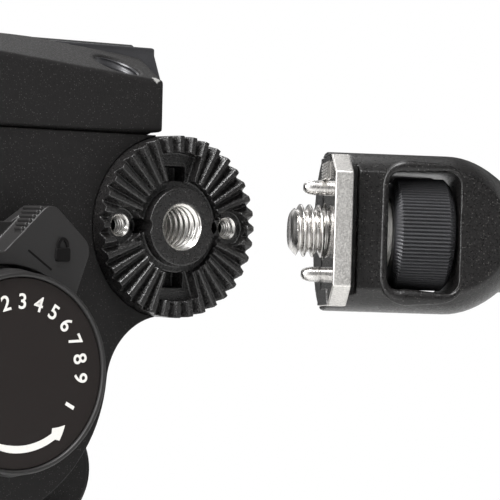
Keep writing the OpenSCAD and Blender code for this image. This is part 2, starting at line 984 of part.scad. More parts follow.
module bar_housing() {
    flat_x0 = loc_back + 1.4;
    groove_in = 1.5;
    groove_half = 11.4;
    win_r = 2.6;
    color("dimgray")
        bar_place()
            difference() {
                union() {
                    rotate([0, 90, 0]) rotate_extrude() house_half2d();
                    difference() {
                        xcyl(house_r, loc_x, loc_back + eps);
                        translate([0, loc_far + fit - far, -loc_half_z - fit])
                            cube([loc_back, far, 2 * (loc_half_z + fit)]);
                    }
                }
                for (s = [-1, 1])
                    translate([flat_x0, s > 0 ? house_flat : -house_flat - far, -far / 2])
                        cube([ogive_end - flat_x0, far, far]);
                translate([loc_back, -far - house_flat + groove_in, -groove_half])
                    cube([flat_x0 - loc_back, far, 2 * groove_half]);
                yplate(-far, far)
                    translate([win_x + win_l / 2, 0]) {
                        square([win_l, 2 * (win_half - win_r)], center = true);
                        square([win_l - 2 * win_r, 2 * win_half], center = true);
                        for (sx = [-1, 1], sz = [-1, 1])
                            translate([sx * (win_l / 2 - win_r), sz * (win_half - win_r)])
                                circle(r = win_r);
                    }
                xcyl(bar_screw_r + gap, 0, screw_head_x + gap);
                xcyl(journal_bar_r + run, 0, screw_end + gap);
                xcyl(tube_r + fit, tube_x, far);
                for (s = [-1, 1])
                    translate([0, 0, s * pin_off])
                        xcyl(pin_r + fit, 0, loc_back + 2.5);
            }
}

module locating_plate() {
    color("lightgray")
        bar_place()
            difference() {
                xplate(loc_x, loc_back)
                    polygon([[loc_far, -loc_half_z], [loc_far, loc_half_z],
                        [-loc_near + loc_chamfer * 1.6, loc_half_z],
                        [-loc_near, loc_half_z - loc_chamfer], [-loc_near, -loc_half_z + loc_chamfer],
                        [-loc_near + loc_chamfer * 1.6, -loc_half_z]]);
                xcyl(bar_screw_r + gap, 0, far);
                for (s = [-1, 1])
                    translate([0, 0, s * pin_off])
                        xcyl(pin_r + fit, 0, far);
            }
}

module locating_pins() {
    tip = 1.5;
    color("silver")
        bar_place()
            for (s = [-1, 1])
                translate([loc_x - pins_out, 0, s * pin_off])
                    rotate([0, 90, 0]) {
                        cylinder(r1 = pin_r * 0.62, r2 = pin_r, h = tip);
                        translate([0, 0, tip])
                            cylinder(r = pin_r, h = pins_out + loc_t + 2 - tip);
                    }
}

module bar_screw() {
    tip = 1;
    color("silver")
        bar_place() {
            rotate([0, 90, 0])
                cylinder(r1 = bar_screw_r - tip, r2 = bar_screw_r, h = tip);
            xcyl(bar_screw_r, tip, loc_x - 0.3);
            xcyl(bar_screw_r - relief, tip, screw_head_x);
            xcyl(journal_bar_r, screw_head_x - eps, screw_end);
        }
}

module thumb_wheel() {
    cham = 1.2;
    color("black")
        bar_place()
            rotate([0, 90, 0])
                rotate_extrude()
                    polygon([[journal_bar_r + fit, wheel_x], [wheel_r - cham, wheel_x],
                        [wheel_r, wheel_x + cham], [wheel_r, wheel_x + wheel_w - cham],
                        [wheel_r - cham, wheel_x + wheel_w],
                        [journal_bar_r + fit, wheel_x + wheel_w]]);
}

module wheel_washer() {
    color("ivory")
        bar_place()
            difference() {
                xcyl(washer_r, win_x + gap, wheel_x);
                xcyl(journal_bar_r + fit, 0, far);
            }
}

module bar_tube() {
    color("silver")
        bar_place()
            difference() {
                xcyl(tube_r, tube_x + gap, tube_end);
                xcyl(tube_r - tube_wall, tube_x, far);
            }
}

module bar_grip() {
    groove = 1;
    color("darkslategray")
        bar_place()
            difference() {
                xcyl(grip_r, grip_x, grip_end);
                xcyl(tube_r + fit, 0, far);
                for (x = [grip_x + 12:12:grip_end - 8])
                    difference() {
                        xcyl(grip_r + eps, x, x + 2);
                        xcyl(grip_r - groove, x - eps, x + 2 + eps);
                    }
            }
}

module bar_cap() {
    color("black")
        bar_place()
            difference() {
                xcyl(grip_r - 0.5, grip_end, grip_end + cap_l);
                xcyl(tube_r + fit, 0, tube_end);
            }
}

base_plate();
base_insert();
pan_spindle();
pan_bearing();
pan_nut();
pan_drag_ring();
pan_body();
pan_lock_lever();
hub_cover();
hub_bushings();
damper_cartridge();
spring_cartridge();
cradle();
cradle_beam();
tilt_shaft();
rosette_near();
rosette_far();
rosette_screws();
tilt_lock_lever();
drag_knob();
drag_dial();
counterbalance_knob();
counterbalance_dial();
clamp_body();
clamp_screws();
clamp_shoe();
plate_lock_lever();
safety_button();
sliding_plate();
plate_pads();
camera_screw_quarter();
camera_screw_three_eighths();
bar_housing();
locating_plate();
locating_pins();
bar_screw();
thumb_wheel();
wheel_washer();
bar_tube();
bar_grip();
bar_cap();
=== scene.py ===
"""Looks of a fluid video head whose pan bar lies apart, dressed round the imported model.

Sizes are millimetres in the classes and metres on the Blender objects. +X is the operator's side,
-Y is the side of the tilt drag knob and +Z is up, as in the part's source.
"""

from __future__ import annotations

import logging
import math
from dataclasses import dataclass, replace
from enum import Enum
from typing import Callable, Iterable, Sequence

import bmesh
import bpy
from mathutils import Matrix, Vector


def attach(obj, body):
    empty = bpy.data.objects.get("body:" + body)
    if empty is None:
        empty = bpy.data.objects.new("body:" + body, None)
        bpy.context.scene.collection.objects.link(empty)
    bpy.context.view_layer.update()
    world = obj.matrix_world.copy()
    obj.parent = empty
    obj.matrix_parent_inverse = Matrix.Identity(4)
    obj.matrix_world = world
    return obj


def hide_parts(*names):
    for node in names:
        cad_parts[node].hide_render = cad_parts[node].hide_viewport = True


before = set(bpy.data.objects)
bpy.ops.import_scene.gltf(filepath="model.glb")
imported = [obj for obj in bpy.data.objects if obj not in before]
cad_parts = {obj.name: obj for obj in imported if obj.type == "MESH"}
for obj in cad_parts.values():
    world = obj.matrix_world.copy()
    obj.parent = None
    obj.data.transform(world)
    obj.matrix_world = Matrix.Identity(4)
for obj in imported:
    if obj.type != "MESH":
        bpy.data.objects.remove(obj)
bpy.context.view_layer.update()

MM = 0.001
LOG = logging.getLogger("video_head")
Point2 = tuple[float, float]
Point3 = tuple[float, float, float]
Arc = tuple[int, int, int]
Shape = Callable[[float, float, float], Point2]
Mesh = bmesh.types.BMesh
Tree = bpy.types.NodeTree
Socket = bpy.types.NodeSocket
Material = bpy.types.Material

# Millimetres from turn to turn of the two inch threads, and rows of points drawn in a turn
PITCH_3_8 = 1.5875
PITCH_1_4 = 1.27
TURN_ROWS = 14
# Most values of a noise texture lie between these
NOISE_LOW, NOISE_HIGH = 0.3, 0.7
# Half the thickness of printed ink, thicker than real ink so that it stands clear of its film
INK_HALF = 0.015
# Corners sharper than these stay sharp, take an edge break, or are no corner at all
SHARP_ANGLE, BREAK_ANGLE, PLAIN_ANGLE = (math.radians(a) for a in (42, 32, 0.6))


def linear(colour: str) -> tuple[float, float, float, float]:
    """Turns an sRGB hex colour into linear light.

    Args:
        colour: Six hex digits after a hash.

    Returns:
        Linear red, green and blue, and an alpha of one.
    """
    parts = [int(colour[i : i + 2], 16) / 255 for i in (1, 3, 5)]
    red, green, blue = (c / 12.92 if c <= 0.04045 else ((c + 0.055) / 1.055) ** 2.4 for c in parts)
    return red, green, blue, 1.0


def add_node(
    tree: Tree,
    kind: str,
    settings: dict | None = None,
    links: dict | None = None,
) -> bpy.types.Node:
    """Adds a node with its settings and links.

    Args:
        tree: The node tree that takes the node.
        kind: The node's type name after its "ShaderNode".
        settings: Attributes and socket values by name or index; "stops" fills a colour ramp.
        links: Output sockets by the name or index of the input that they feed.

    Returns:
        The new node.
    """
    node = tree.nodes.new("ShaderNode" + kind)
    for key, value in (settings or {}).items():
        if key == "stops":
            for element, (place, colour) in zip(node.color_ramp.elements, value):
                element.position, element.color = place, colour
        elif isinstance(key, str) and hasattr(node, key):
            setattr(node, key, value)
        else:
            node.inputs[key].default_value = value
    for key, socket in (links or {}).items():
        tree.links.new(socket, node.inputs[key])
    return node


def new_paint(name: str) -> tuple[Material, Tree]:
    """Makes a material with an empty node tree.

    Args:
        name: The material's name.

    Returns:
        The material and its tree.
    """
    made = bpy.data.materials.new(name)
    made.use_nodes = True
    made.node_tree.nodes.clear()
    return made, made.node_tree


def combined(tree: Tree, operation: str, one: Socket, two: Socket) -> Socket:
    """Adds a calculation on two values.

    Args:
        tree: The node tree that takes it.
        operation: The calculation's name.
        one: The first value.
        two: The second value.

    Returns:
        A socket with the result.
    """
    return add_node(tree, "Math", {"operation": operation}, {0: one, 1: two}).outputs[0]


def overlaid(tree: Tree, share: Socket, under: Socket, over: str) -> Socket:
    """Lays one colour over another.

    Args:
        tree: The node tree that takes the mix.
        share: How much of the upper colour shows.
        under: The lower colour.
        over: The upper colour, in sRGB.

    Returns:
        A socket with the mixed colour.
    """
    upper = {"data_type": "RGBA", 7: linear(over)}
    return add_node(tree, "Mix", upper, {0: share, 6: under}).outputs[2]


class Texture(Enum):
    """How a surface was made, which decides the pattern that its finish draws."""

    SPRAYED = "powder grains that melted into a skin"
    MOULDED = "grain of a spark-eroded mould"
    BLASTED = "small pits of glass beads"
    TURNED = "rings of a lathe tool along the piece's own X axis"


@dataclass(frozen=True)
class Finish:
    """A surface finish, named for its material and the way it was made."""

    name: str
    colour: str
    roughness: float
    texture: Texture
    grain_mm: float
    depth_mm: float
    metallic: float = 0.0
    specular: float = 0.5
    fleck: str = "#000000"
    fleck_mm: float = 0.0
    fleck_share: float = 0.0
    uneven: float = 0.06
    # A painted highlight: the colour of a small pale patch, its middle and its reach, in millimetres.
    worn: str = "#8f8e8c"
    worn_at: Point3 | None = None
    worn_mm: float = 2.0

    def material(self) -> Material:
        """Returns the finish's material, made on its first use."""
        known = bpy.data.materials.get(self.name)
        return known or self._build()

    def _build(self) -> Material:
        """Builds the node tree from the finish's own sizes.

        Returns:
            The new material.
        """
        made, tree = new_paint(self.name)
        place = add_node(tree, "TexCoord").outputs["Object"]
        grain = self._grain(tree, place)
        colour = self._colour(tree, place, grain)
        span = {
            "From Min": NOISE_LOW,
            "From Max": NOISE_HIGH,
            "To Min": self.roughness - self.uneven,
            "To Max": self.roughness + self.uneven,
        }
        rough = add_node(tree, "MapRange", span, {"Value": grain})
        height = {"Strength": 1.0, "Distance": self.depth_mm * MM}
        bump = add_node(tree, "Bump", height, {"Height": grain})
        values = {"Metallic": self.metallic, "Specular IOR Level": self.specular}
        inputs = {"Base Color": colour, "Roughness": rough.outputs[0], "Normal": bump.outputs[0]}
        shader = add_node(tree, "BsdfPrincipled", values, inputs)
        add_node(tree, "OutputMaterial", None, {"Surface": shader.outputs[0]})
        return made

    def _grain(self, tree: Tree, place: Socket) -> Socket:
        """Adds the pattern of the way the surface was made.

        Args:
            tree: The material's node tree.
            place: Object coordinates, in metres.

        Returns:
            A socket with the pattern's value, about 0.5 on average.
        """
        scale = 1 / (self.grain_mm * MM)
        if self.texture is Texture.TURNED:
            split = add_node(tree, "SeparateXYZ", None, {0: place})
            rings = {"noise_dimensions": "1D", "Scale": scale, "Detail": 1.0}
            return add_node(tree, "TexNoise", rings, {"W": split.outputs["X"]}).outputs[0]
        detail = {Texture.SPRAYED: 2.0, Texture.MOULDED: 3.0, Texture.BLASTED: 1.0}[self.texture]
        noise = {"Scale": scale, "Detail": detail, "Roughness": 0.6}
        return add_node(tree, "TexNoise", noise, {"Vector": place}).outputs[0]

    def _colour(self, tree: Tree, place: Socket, grain: Socket) -> Socket:
        """Adds the colour, with the flecks and the painted highlight that the finish has.

        Args:
            tree: The material's node tree.
            place: Object coordinates, in metres.
            grain: The pattern of the way the surface was made.

        Returns:
            The colour socket.
        """
        base, swing = linear(self.colour), 3 * self.uneven
        dark = tuple(c * (1 - swing) for c in base[:3]) + (1.0,)
        light = tuple(min(1.0, c * (1 + swing)) for c in base[:3]) + (1.0,)
        ramp = {"stops": [(NOISE_LOW, dark), (NOISE_HIGH, light)]}
        colour = add_node(tree, "ValToRGB", ramp, {"Fac": grain}).outputs["Color"]
        if self.fleck_share:
            colour = overlaid(tree, self._flecks(tree, place), colour, self.fleck)
        # Painted highlight: a pale patch laid over the colour.
        if self.worn_at:
            colour = overlaid(tree, self._wear(tree, place, grain), colour, self.worn)
        return colour

    def _flecks(self, tree: Tree, place: Socket) -> Socket:
        """Adds soft dots in a share of the cells of a pattern.

        Args:
            tree: The material's node tree.
            place: Object coordinates, in metres.

        Returns:
            A socket that rises to 1 in the middle of a fleck and is 0 beside it.
        """
        size = {"Scale": 1 / (self.fleck_mm * MM)}
        cells = add_node(tree, "TexVoronoi", size, {"Vector": place})
        edge = {"From Min": 0.08, "From Max": 0.32, "To Min": 1.0, "To Max": 0.0}
        soft = {"interpolation_type": "SMOOTHSTEP", **edge}
        near = add_node(tree, "MapRange", soft, {"Value": cells.outputs["Distance"]})
        draw = add_node(tree, "SeparateColor", None, {0: cells.outputs["Color"]})
        share = {"From Min": 1 - self.fleck_share, "From Max": 1.0}
        chosen = add_node(tree, "MapRange", share, {"Value": draw.outputs[0]})
        return combined(tree, "MULTIPLY", near.outputs[0], chosen.outputs[0])

    def _wear(self, tree: Tree, place: Socket, grain: Socket) -> Socket:
        """Adds the ragged pale patch of a painted highlight, coloured like bare metal.

        Args:
            tree: The material's node tree.
            place: Object coordinates, in metres.
            grain: The pattern of the way the surface was made.

        Returns:
            A socket that is 1 on the painted highlight.
        """
        spot = {"operation": "DISTANCE", 1: tuple(c * MM for c in self.worn_at)}
        away = add_node(tree, "VectorMath", spot, {0: place}).outputs["Value"]
        reach = {"operation": "MULTIPLY", 1: self.worn_mm * MM}
        ragged = add_node(tree, "Math", reach, {0: grain}).outputs[0]
        return combined(tree, "LESS_THAN", away, ragged)


# Polyester powder coat on cast aluminium: near black, matt, a fine orange-peel skin with small
# lighter grains. The grains are drawn at about 0.3 mm, coarser than real ones, so that they show.
POWDER = Finish(
    "powder_coat_fine_black", "#161515", 0.62, Texture.SPRAYED, 0.34, 0.035,
    specular=0.2, fleck="#545251", fleck_mm=0.32, fleck_share=0.6, uneven=0.12,
)
# The same coat on the clamp, with a painted highlight: a small pale patch, coloured like bare metal, at
# the rail's rear corner where the light catches it.
POWDER_PAINTED_GLINT = replace(
    POWDER,
    name="powder_coat_fine_black_painted_glint",
    colour="#171616",
    worn_at=(34.7, -35.5, 106.3),
    worn_mm=1.5,
)
# A thicker, glossier coat on the bar's clamp: its rounded edges draw clear lines of light.
POWDER_GLOSSY = Finish(
    "powder_coat_glossy_black", "#100f0f", 0.34, Texture.SPRAYED, 0.34, 0.05,
    specular=0.35, fleck="#646260", fleck_mm=0.36, fleck_share=0.5, uneven=0.1,
)
# Thick wrinkle coat on the cast rosette: glossier and coarser, its grains catch small glints.
WRINKLE = Finish(
    "wrinkle_coat_black", "#151414", 0.32, Texture.SPRAYED, 0.3, 0.08,
    specular=0.55, fleck="#5a5856", fleck_mm=0.45, fleck_share=0.35, uneven=0.1,
)
# Glass-filled nylon out of a spark-eroded mould: dark grey, soft even sheen.
NYLON = Finish("nylon_moulded_black", "#1f1e1e", 0.46, Texture.MOULDED, 0.18, 0.015, specular=0.4)
# Natural nylon, turned: milky white and smooth.
NYLON_NATURAL = Finish(
    "nylon_turned_natural", "#e4e2dd", 0.4, Texture.TURNED, 0.2, 0.004, specular=0.4, uneven=0.03,
)
# Screen-printed polycarbonate film: brownish black, flat and matt.
DIAL_FILM = Finish(
    "polycarbonate_film_printed", "#1f1b1a", 0.65, Texture.MOULDED, 0.25, 0.004,
    specular=0.15, uneven=0.03,
)
# Screen ink: slightly grey white, matt, thin at its edges.
INK = Finish("screen_ink_white", "#d9d7d3", 0.7, Texture.MOULDED, 0.12, 0.004, specular=0.2, uneven=0.03)
# Black ink, matt: the lock mark's own dark fill, and a painted shade that stands for the engraved index
# groove.
INK_BLACK_AND_GROOVE_SHADE = Finish("screen_ink_black_and_groove_shade", "#0f0e0e", 0.8, Texture.MOULDED, 0.12, 0.004, specular=0.1)
# Aluminium, milled and bead blasted: pale grey with a fine sparkle.
BLASTED = Finish("aluminium_bead_blasted", "#c8c6c3", 0.42, Texture.BLASTED, 0.3, 0.03, metallic=1.0)
# Free-cutting steel turned bright: clear reflections broken by fine tool rings.
STEEL = Finish(
    "steel_turned_bright", "#c4c2c0", 0.27, Texture.TURNED, 0.4, 0.0001, metallic=1.0, uneven=0.03,
)
# Aluminium, ground flat: a clear mirror with a soft edge.
GROUND = Finish(
    "aluminium_ground", "#bdbbb8", 0.14, Texture.BLASTED, 0.3, 0.0005, metallic=1.0, uneven=0.02,
)
# Aluminium cut by a tap: bright thread flanks with clean edges.
TAPPED = Finish(
    "aluminium_tapped", "#cfcdca", 0.27, Texture.TURNED, 0.15, 0.0005, metallic=1.0, uneven=0.05,
)
# Aluminium, brushed and black anodised: dark satin with a soft metal glint.
ANODISED = Finish(
    "aluminium_anodised_black", "#39393b", 0.36, Texture.BLASTED, 0.15, 0.008,
    metallic=0.35, specular=0.35, uneven=0.05,
)
# Sintered bronze: oily, warm and porous.
BRONZE = Finish(
    "bronze_sintered", "#9a7238", 0.42, Texture.BLASTED, 0.2, 0.02, metallic=1.0,
    fleck="#5a3f1c", fleck_mm=0.5, fleck_share=0.4,
)
# Nitrile rubber: dull charcoal that scatters light.
RUBBER = Finish("rubber_moulded_black", "#242424", 0.75, Texture.MOULDED, 0.3, 0.03, specular=0.25)
# Moulded ABS: clear red with a clean gloss.
RED_ABS = Finish("abs_moulded_red", "#b3201a", 0.25, Texture.MOULDED, 0.4, 0.003)


class Slot(Enum):
    """The record's material slots; no piece here is given one."""

    CASTING = "black_casting"
    MOULDING = "black_moulding"
    DIAL = "dial_print"
    BARE = "bare_aluminium"
    DARK = "dark_aluminium"
    STEEL = "steel"
    STRIP = "strip_rubber"
    GRIP = "grip_foam"
    RED = "button_red"


def facing(origin: Point3, outward: Point3, up: Point3 = (0, 0, 1)) -> Matrix:
    """Gives the place of a piece whose own X axis points outward.

    Args:
        origin: The piece's origin, in millimetres.
        outward: Direction of the piece's X axis.
        up: Direction of the piece's Z axis, square to outward.

    Returns:
        The placing matrix, in metres.
    """
    x, z = Vector(outward).normalized(), Vector(up).normalized()
    turn = Matrix((x, z.cross(x), z)).transposed().to_4x4()
    return Matrix.Translation(Vector(origin) * MM) @ turn


def rounded(path: Sequence[Point2], radius: float, steps: int = 4, closed: bool = False) -> list[Point2]:
    """Rounds the corners of a flat path.

    Args:
        path: The corners.
        radius: How far from a corner its rounding starts, if the side is long enough.
        steps: Straight steps in each rounding.
        closed: Whether the last corner joins the first.

    Returns:
        The path's points.
    """
    done: list[Point2] = []
    count, most = len(path), 0.45
    for i, corner in enumerate(path):
        if not closed and i in (0, count - 1):
            done.append(corner)
            continue
        here, before, after = Vector(corner), Vector(path[i - 1]), Vector(path[(i + 1) % count])
        reach_in = min(radius, (before - here).length * most)
        reach_out = min(radius, (after - here).length * most)
        start = here + (before - here).normalized() * reach_in
        end = here + (after - here).normalized() * reach_out
        for k in range(steps + 1):
            t = k / steps
            done.append(tuple(start.lerp(here, t).lerp(here.lerp(end, t), t)))
    return done


def lathe(
    profile: Sequence[Point2],
    turns: int = 96,
    shape: Shape | None = None,
    closed: bool = False,
) -> Mesh:
    """Spins a profile round the X axis.

    Args:
        profile: Points of station along the axis and radius, in millimetres.
        turns: Steps round the axis.
        shape: Gives a point's station and radius from its plain ones and its angle.
        closed: Whether the last point joins the first.

    Returns:
        The spun mesh, in metres.
    """
    mesh = bmesh.new()
    rings = []
    for station, radius in profile:
        ring = []
        for j in range(turns if radius > 0 else 1):
            angle = math.tau * j / turns
            x, r = shape(station, radius, angle) if shape and radius > 0 else (station, radius)
            ring.append(mesh.verts.new((x * MM, r * math.cos(angle) * MM, r * math.sin(angle) * MM)))
        rings.append(ring)
    for one, two in zip(rings, rings[1:] + rings[:1] if closed else rings[1:]):
        for j in range(turns):
            k = (j + 1) % turns
            corners = [one[j % len(one)], one[k % len(one)], two[k % len(two)], two[j % len(two)]]
            mesh.faces.new(dict.fromkeys(corners))
    bmesh.ops.recalc_face_normals(mesh, faces=mesh.faces)
    return mesh


def loft(rings: Sequence[Sequence[Point3]], closed: bool = False) -> Mesh:
    """Skins a row of rings that have equal counts of points.

    Args:
        rings: The rings' points, in millimetres.
        closed: Whether the last ring joins the first; open ends are capped.

    Returns:
        The skinned mesh, in metres.
    """
    mesh = bmesh.new()
    made = [[mesh.verts.new(Vector(point) * MM) for point in ring] for ring in rings]
    count = len(made[0])
    for one, two in zip(made, made[1:] + made[:1] if closed else made[1:]):
        for j in range(count):
            mesh.faces.new((one[j], one[(j + 1) % count], two[(j + 1) % count], two[j]))
    if not closed:
        mesh.faces.new(made[0])
        mesh.faces.new(made[-1])
    bmesh.ops.recalc_face_normals(mesh, faces=mesh.faces)
    return mesh


def slab(outline: Sequence[Point2], low: float, high: float, edge: float) -> Mesh:
    """Makes a plate with a rounded edge from a flat outline in Y and Z.

    Args:
        outline: The outline's points, running counter-clockwise.
        low: The lower face's station along X.
        high: The upper face's station along X.
        edge: Radius of the upper edge; the lower one stays sharp.

    Returns:
        The plate's mesh, in metres.
    """
    count, steps = len(outline), 4
    inward = []
    for i in range(count):
        before, here, after = (Vector(outline[k % count]) for k in (i - 1, i, i + 1))
        tangent = (after - here).normalized() + (here - before).normalized()
        inward.append((here, Vector((-tangent.y, tangent.x)).normalized()))
    rings = [[(low, p.x, p.y) for p, _ in inward]]
    for k in range(steps + 1):
        angle = math.radians(90 / steps * k)
        inset, height = edge * (1 - math.cos(angle)), high - edge * (1 - math.sin(angle))
        rings.append([(height, *(p + n * inset)) for p, n in inward])
    return loft(rings)


def joined(parts: Iterable[Mesh]) -> Mesh:
    """Gathers several meshes into one.

    Args:
        parts: The meshes, which are freed.

    Returns:
        One mesh with all of them.
    """
    whole = bmesh.new()
    for part in parts:
        held = bpy.data.meshes.new("held")
        part.to_mesh(held)
        part.free()
        whole.from_mesh(held)
        bpy.data.meshes.remove(held)
    return whole


def moved(mesh: Mesh, place: Matrix) -> Mesh:
    """Returns the mesh after moving it by a matrix in metres."""
    mesh.transform(place)
    return mesh


def stand(name: str, mesh: Mesh, paint: Material) -> bpy.types.Object:
    """Links a new object that holds a mesh.

    Args:
        name: The object's name.
        mesh: Its mesh, in metres, which is freed.
        paint: Its material.

    Returns:
        The new object.
    """
    data = bpy.data.meshes.new(name)
    mesh.to_mesh(data)
    mesh.free()
    data.materials.append(paint)
    stood = bpy.data.objects.new(name, data)
    bpy.context.scene.collection.objects.link(stood)
    return stood


def add_piece(
    name: str,
    mesh: Mesh,
    finish: Finish,
    body: str,
    place: Matrix | None = None,
    replaces: Sequence[str] = (),
) -> None:
    """Adds a piece that rides on a body.

    Args:
        name: The piece's name.
        mesh: Its mesh, in metres, which is freed.
        finish: Its finish.
        body: The body that it rides on.
        place: Where its own axes stand; the origin if left out.
        replaces: The nodes that it stands for.
    """
    piece = stand(name, mesh, finish.material())
    faces = piece.data.polygons
    faces.foreach_set("use_smooth", [True] * len(faces))
    piece.data.set_sharp_from_angle(angle=SHARP_ANGLE)
    piece.matrix_world = place or Matrix.Identity(4)
    flat = piece.modifiers.new("flat_faces", "WEIGHTED_NORMAL")
    flat.keep_sharp = True
    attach(piece, body)
    if replaces:
        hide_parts(*replaces)
    LOG.info("%s rides on %s, %d faces, %s", name, body, len(faces), finish.name)


def dress(node: str, finish: Finish, edge: float = 0.0, skin: float = 0.0, passes: int = 0) -> None:
    """Gives a CAD node its finish and softens its edges by modifiers.

    Args:
        node: The node's name.
        finish: Its finish.
        edge: Width of a machined edge break, in millimetres.
        skin: Grain of a cast skin drawn over the whole node, in millimetres.
        passes: How often the cast skin is smoothed.
    """
    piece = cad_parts[node]
    piece.data.materials.clear()
    piece.data.materials.append(finish.material())
    piece.data.polygons.foreach_set("use_smooth", [True] * len(piece.data.polygons))
    weld = piece.modifiers.new("weld", "WELD")
    weld.merge_threshold = 1e-6
    if skin:
        cast = piece.modifiers.new("cast_skin", "REMESH")
        cast.mode = "VOXEL"
        cast.voxel_size = skin * MM
        cast.use_smooth_shade = True
        soft = piece.modifiers.new("cast_rounding", "SMOOTH")
        soft.factor, soft.iterations = 0.5, passes
    else:
        plain = piece.modifiers.new("plain_faces", "DECIMATE")
        plain.decimate_type = "DISSOLVE"
        plain.angle_limit = PLAIN_ANGLE
        if edge:
            broken = piece.modifiers.new("edge_break", "BEVEL")
            broken.width, broken.segments = edge * MM, 3
            broken.limit_method, broken.angle_limit = "ANGLE", BREAK_ANGLE
            broken.use_clamp_overlap = False
        flat = piece.modifiers.new("flat_faces", "WEIGHTED_NORMAL")
        flat.keep_sharp = True
    LOG.info("%s dressed in %s", node, finish.name)


def thread(major: float, depth: float, pitch: float) -> Shape:
    """Gives the shape of a right-hand thread for a lathe.

    Args:
        major: Radius at the crests of a screw, or at the roots of a nut.
        depth: Depth of the thread.
        pitch: Distance from turn to turn.

    Returns:
        The shape, which keeps a point that is already inside the thread.
    """
    crest, flank = 0.06, 0.84

    def cut(station: float, radius: float, angle: float) -> Point2:
        phase = (station / pitch - angle / math.tau) % 1
        share = min(1.0, max(0.0, (1 - abs(2 * phase - 1) - crest) / flank))
        return station, min(radius, major - depth * share * share * (3 - 2 * share))

    return cut


def sleeve(bore: float, length: float, pitch: float, depth: float, sink: float = 0.0) -> Mesh:
    """Makes the tapped wall of a hole, standing inside it from station 0 to its mouth.

    Args:
        bore: Radius of the hole that it lines.
        length: Length of the wall.
        pitch: Distance from turn to turn.
        depth: Depth of the thread.
        sink: Depth and width of the countersink at the mouth.

    Returns:
        The wall's mesh, in metres.
    """
    outer = bore - 0.01
    root = outer - 0.03
    count = max(8, round(length / pitch * TURN_ROWS))
    cut = thread(root, depth, pitch)

    def wall(station: float, radius: float, angle: float) -> Point2:
        if radius >= outer - 0.02:
            return station, radius
        _, r = cut(station, root, angle)
        return station, max(r, radius)

    mouth = max(sink, min(0.6, length * 0.1))
    profile = []
    for i in range(count + 1):
        station = (length - sink) * i / count
        flare = max(0.0, (station - length + sink + mouth) / mouth)
        profile.append((station, root - depth * (1 - flare)))
    if sink:
        profile += [(length - 0.02, outer + sink - 0.05), (length, outer + sink - 0.02)]
    profile += [(length - sink, outer), (0.0, outer)]
    return lathe(profile, 72, wall, closed=True)


def cap_screw(head_r: float, head_h: float, shank_r: float, length: float) -> Mesh:
    """Makes a socket-head screw whose head's face lies at station 0.

    Args:
        head_r: Radius of the head.
        head_h: Height of the head.
        shank_r: Radius of the shank.
        length: Whole length.

    Returns:
        The screw's mesh, in metres.
    """
    key = head_r * 0.52

    def hexagon(station: float, radius: float, angle: float) -> Point2:
        if radius > key + 0.05 or station > head_h:
            return station, radius
        return station, radius * math.cos(math.pi / 6) / math.cos(angle % (math.pi / 3) - math.pi / 6)

    profile = [(head_h * 0.6, 0), (head_h * 0.6, key * 0.9), (0.05, key)]
    profile += rounded([(0, key + 0.1), (0, head_r), (head_h, head_r), (head_h, shank_r + 0.1)], 0.3)
    profile += [(head_h + 0.1, shank_r), (length - 0.4, shank_r), (length, shank_r - 0.4), (length, 0)]
    return lathe(profile, 48, hexagon)


def glyphs(text: str, height: float, bold: float) -> Mesh:
    """Makes flat printed figures in the YZ plane, centred on the origin.

    Args:
        text: The figures.
        height: Height of a figure, in millimetres.
        bold: Added stroke width, as a share of the height.

    Returns:
        The figures' mesh, in metres, with a thin body along X.
    """
    curve = bpy.data.curves.new("figures", "FONT")
    curve.body, curve.align_x, curve.align_y = text, "CENTER", "CENTER"
    size_to_height = 1.4
    curve.size, curve.offset = height * size_to_height * MM, bold * height * MM
    curve.extrude = INK_HALF * MM
    held = bpy.data.objects.new("figures", curve)
    bpy.context.scene.collection.objects.link(held)
    flat = bpy.data.meshes.new_from_object(held.evaluated_get(bpy.context.evaluated_depsgraph_get()))
    bpy.data.objects.remove(held)
    bpy.data.curves.remove(curve)
    mesh = bmesh.new()
    mesh.from_mesh(flat)
    bpy.data.meshes.remove(flat)
    bmesh.ops.remove_doubles(mesh, verts=mesh.verts, dist=1e-7)
    return moved(mesh, Matrix(((0, 0, 1, 0), (1, 0, 0, 0), (0, 1, 0, 0), (0, 0, 0, 1))))


def stroke(line: Sequence[Point2], widths: Sequence[float]) -> Mesh:
    """Makes a flat printed stroke in the YZ plane.

    Args:
        line: The stroke's middle line.
        widths: Its width at each point of the line.

    Returns:
        The stroke's mesh, in metres, with a thin body along X.
    """
    rings = []
    for i, (here, width) in enumerate(zip(line, widths)):
        ahead = Vector(line[min(i + 1, len(line) - 1)]) - Vector(line[max(i - 1, 0)])
        side = Vector((-ahead.y, ahead.x)).normalized() * width / 2
        one, two = Vector(here) + side, Vector(here) - side
        corners = ((-INK_HALF, one), (-INK_HALF, two), (INK_HALF, two), (INK_HALF, one))
        rings.append([(x, *point) for x, point in corners])
    return loft(rings)


def polar(radius: float, degrees: float) -> Point2:
    """Returns the flat point at a radius and an angle from the Y axis."""
    return radius * math.cos(math.radians(degrees)), radius * math.sin(math.radians(degrees))


@dataclass(frozen=True)
class Softbox:
    """A lamp behind white cloth: its place, the point it faces, its width and height, its power."""

    name: str
    at: Point3
    target: Point3
    size: Point2
    watts: float

    def hang(self) -> None:
        """Hangs the lamp."""
        data = bpy.data.lights.new(self.name, "AREA")
        data.shape, data.energy = "RECTANGLE", self.watts
        data.size, data.size_y = (d * MM for d in self.size)
        box = bpy.data.objects.new(self.name, data)
        bpy.context.scene.collection.objects.link(box)
        box.location = Vector(self.at) * MM
        aim = Vector(self.target) - Vector(self.at)
        box.rotation_euler = aim.to_track_quat("-Z", "Y").to_euler()


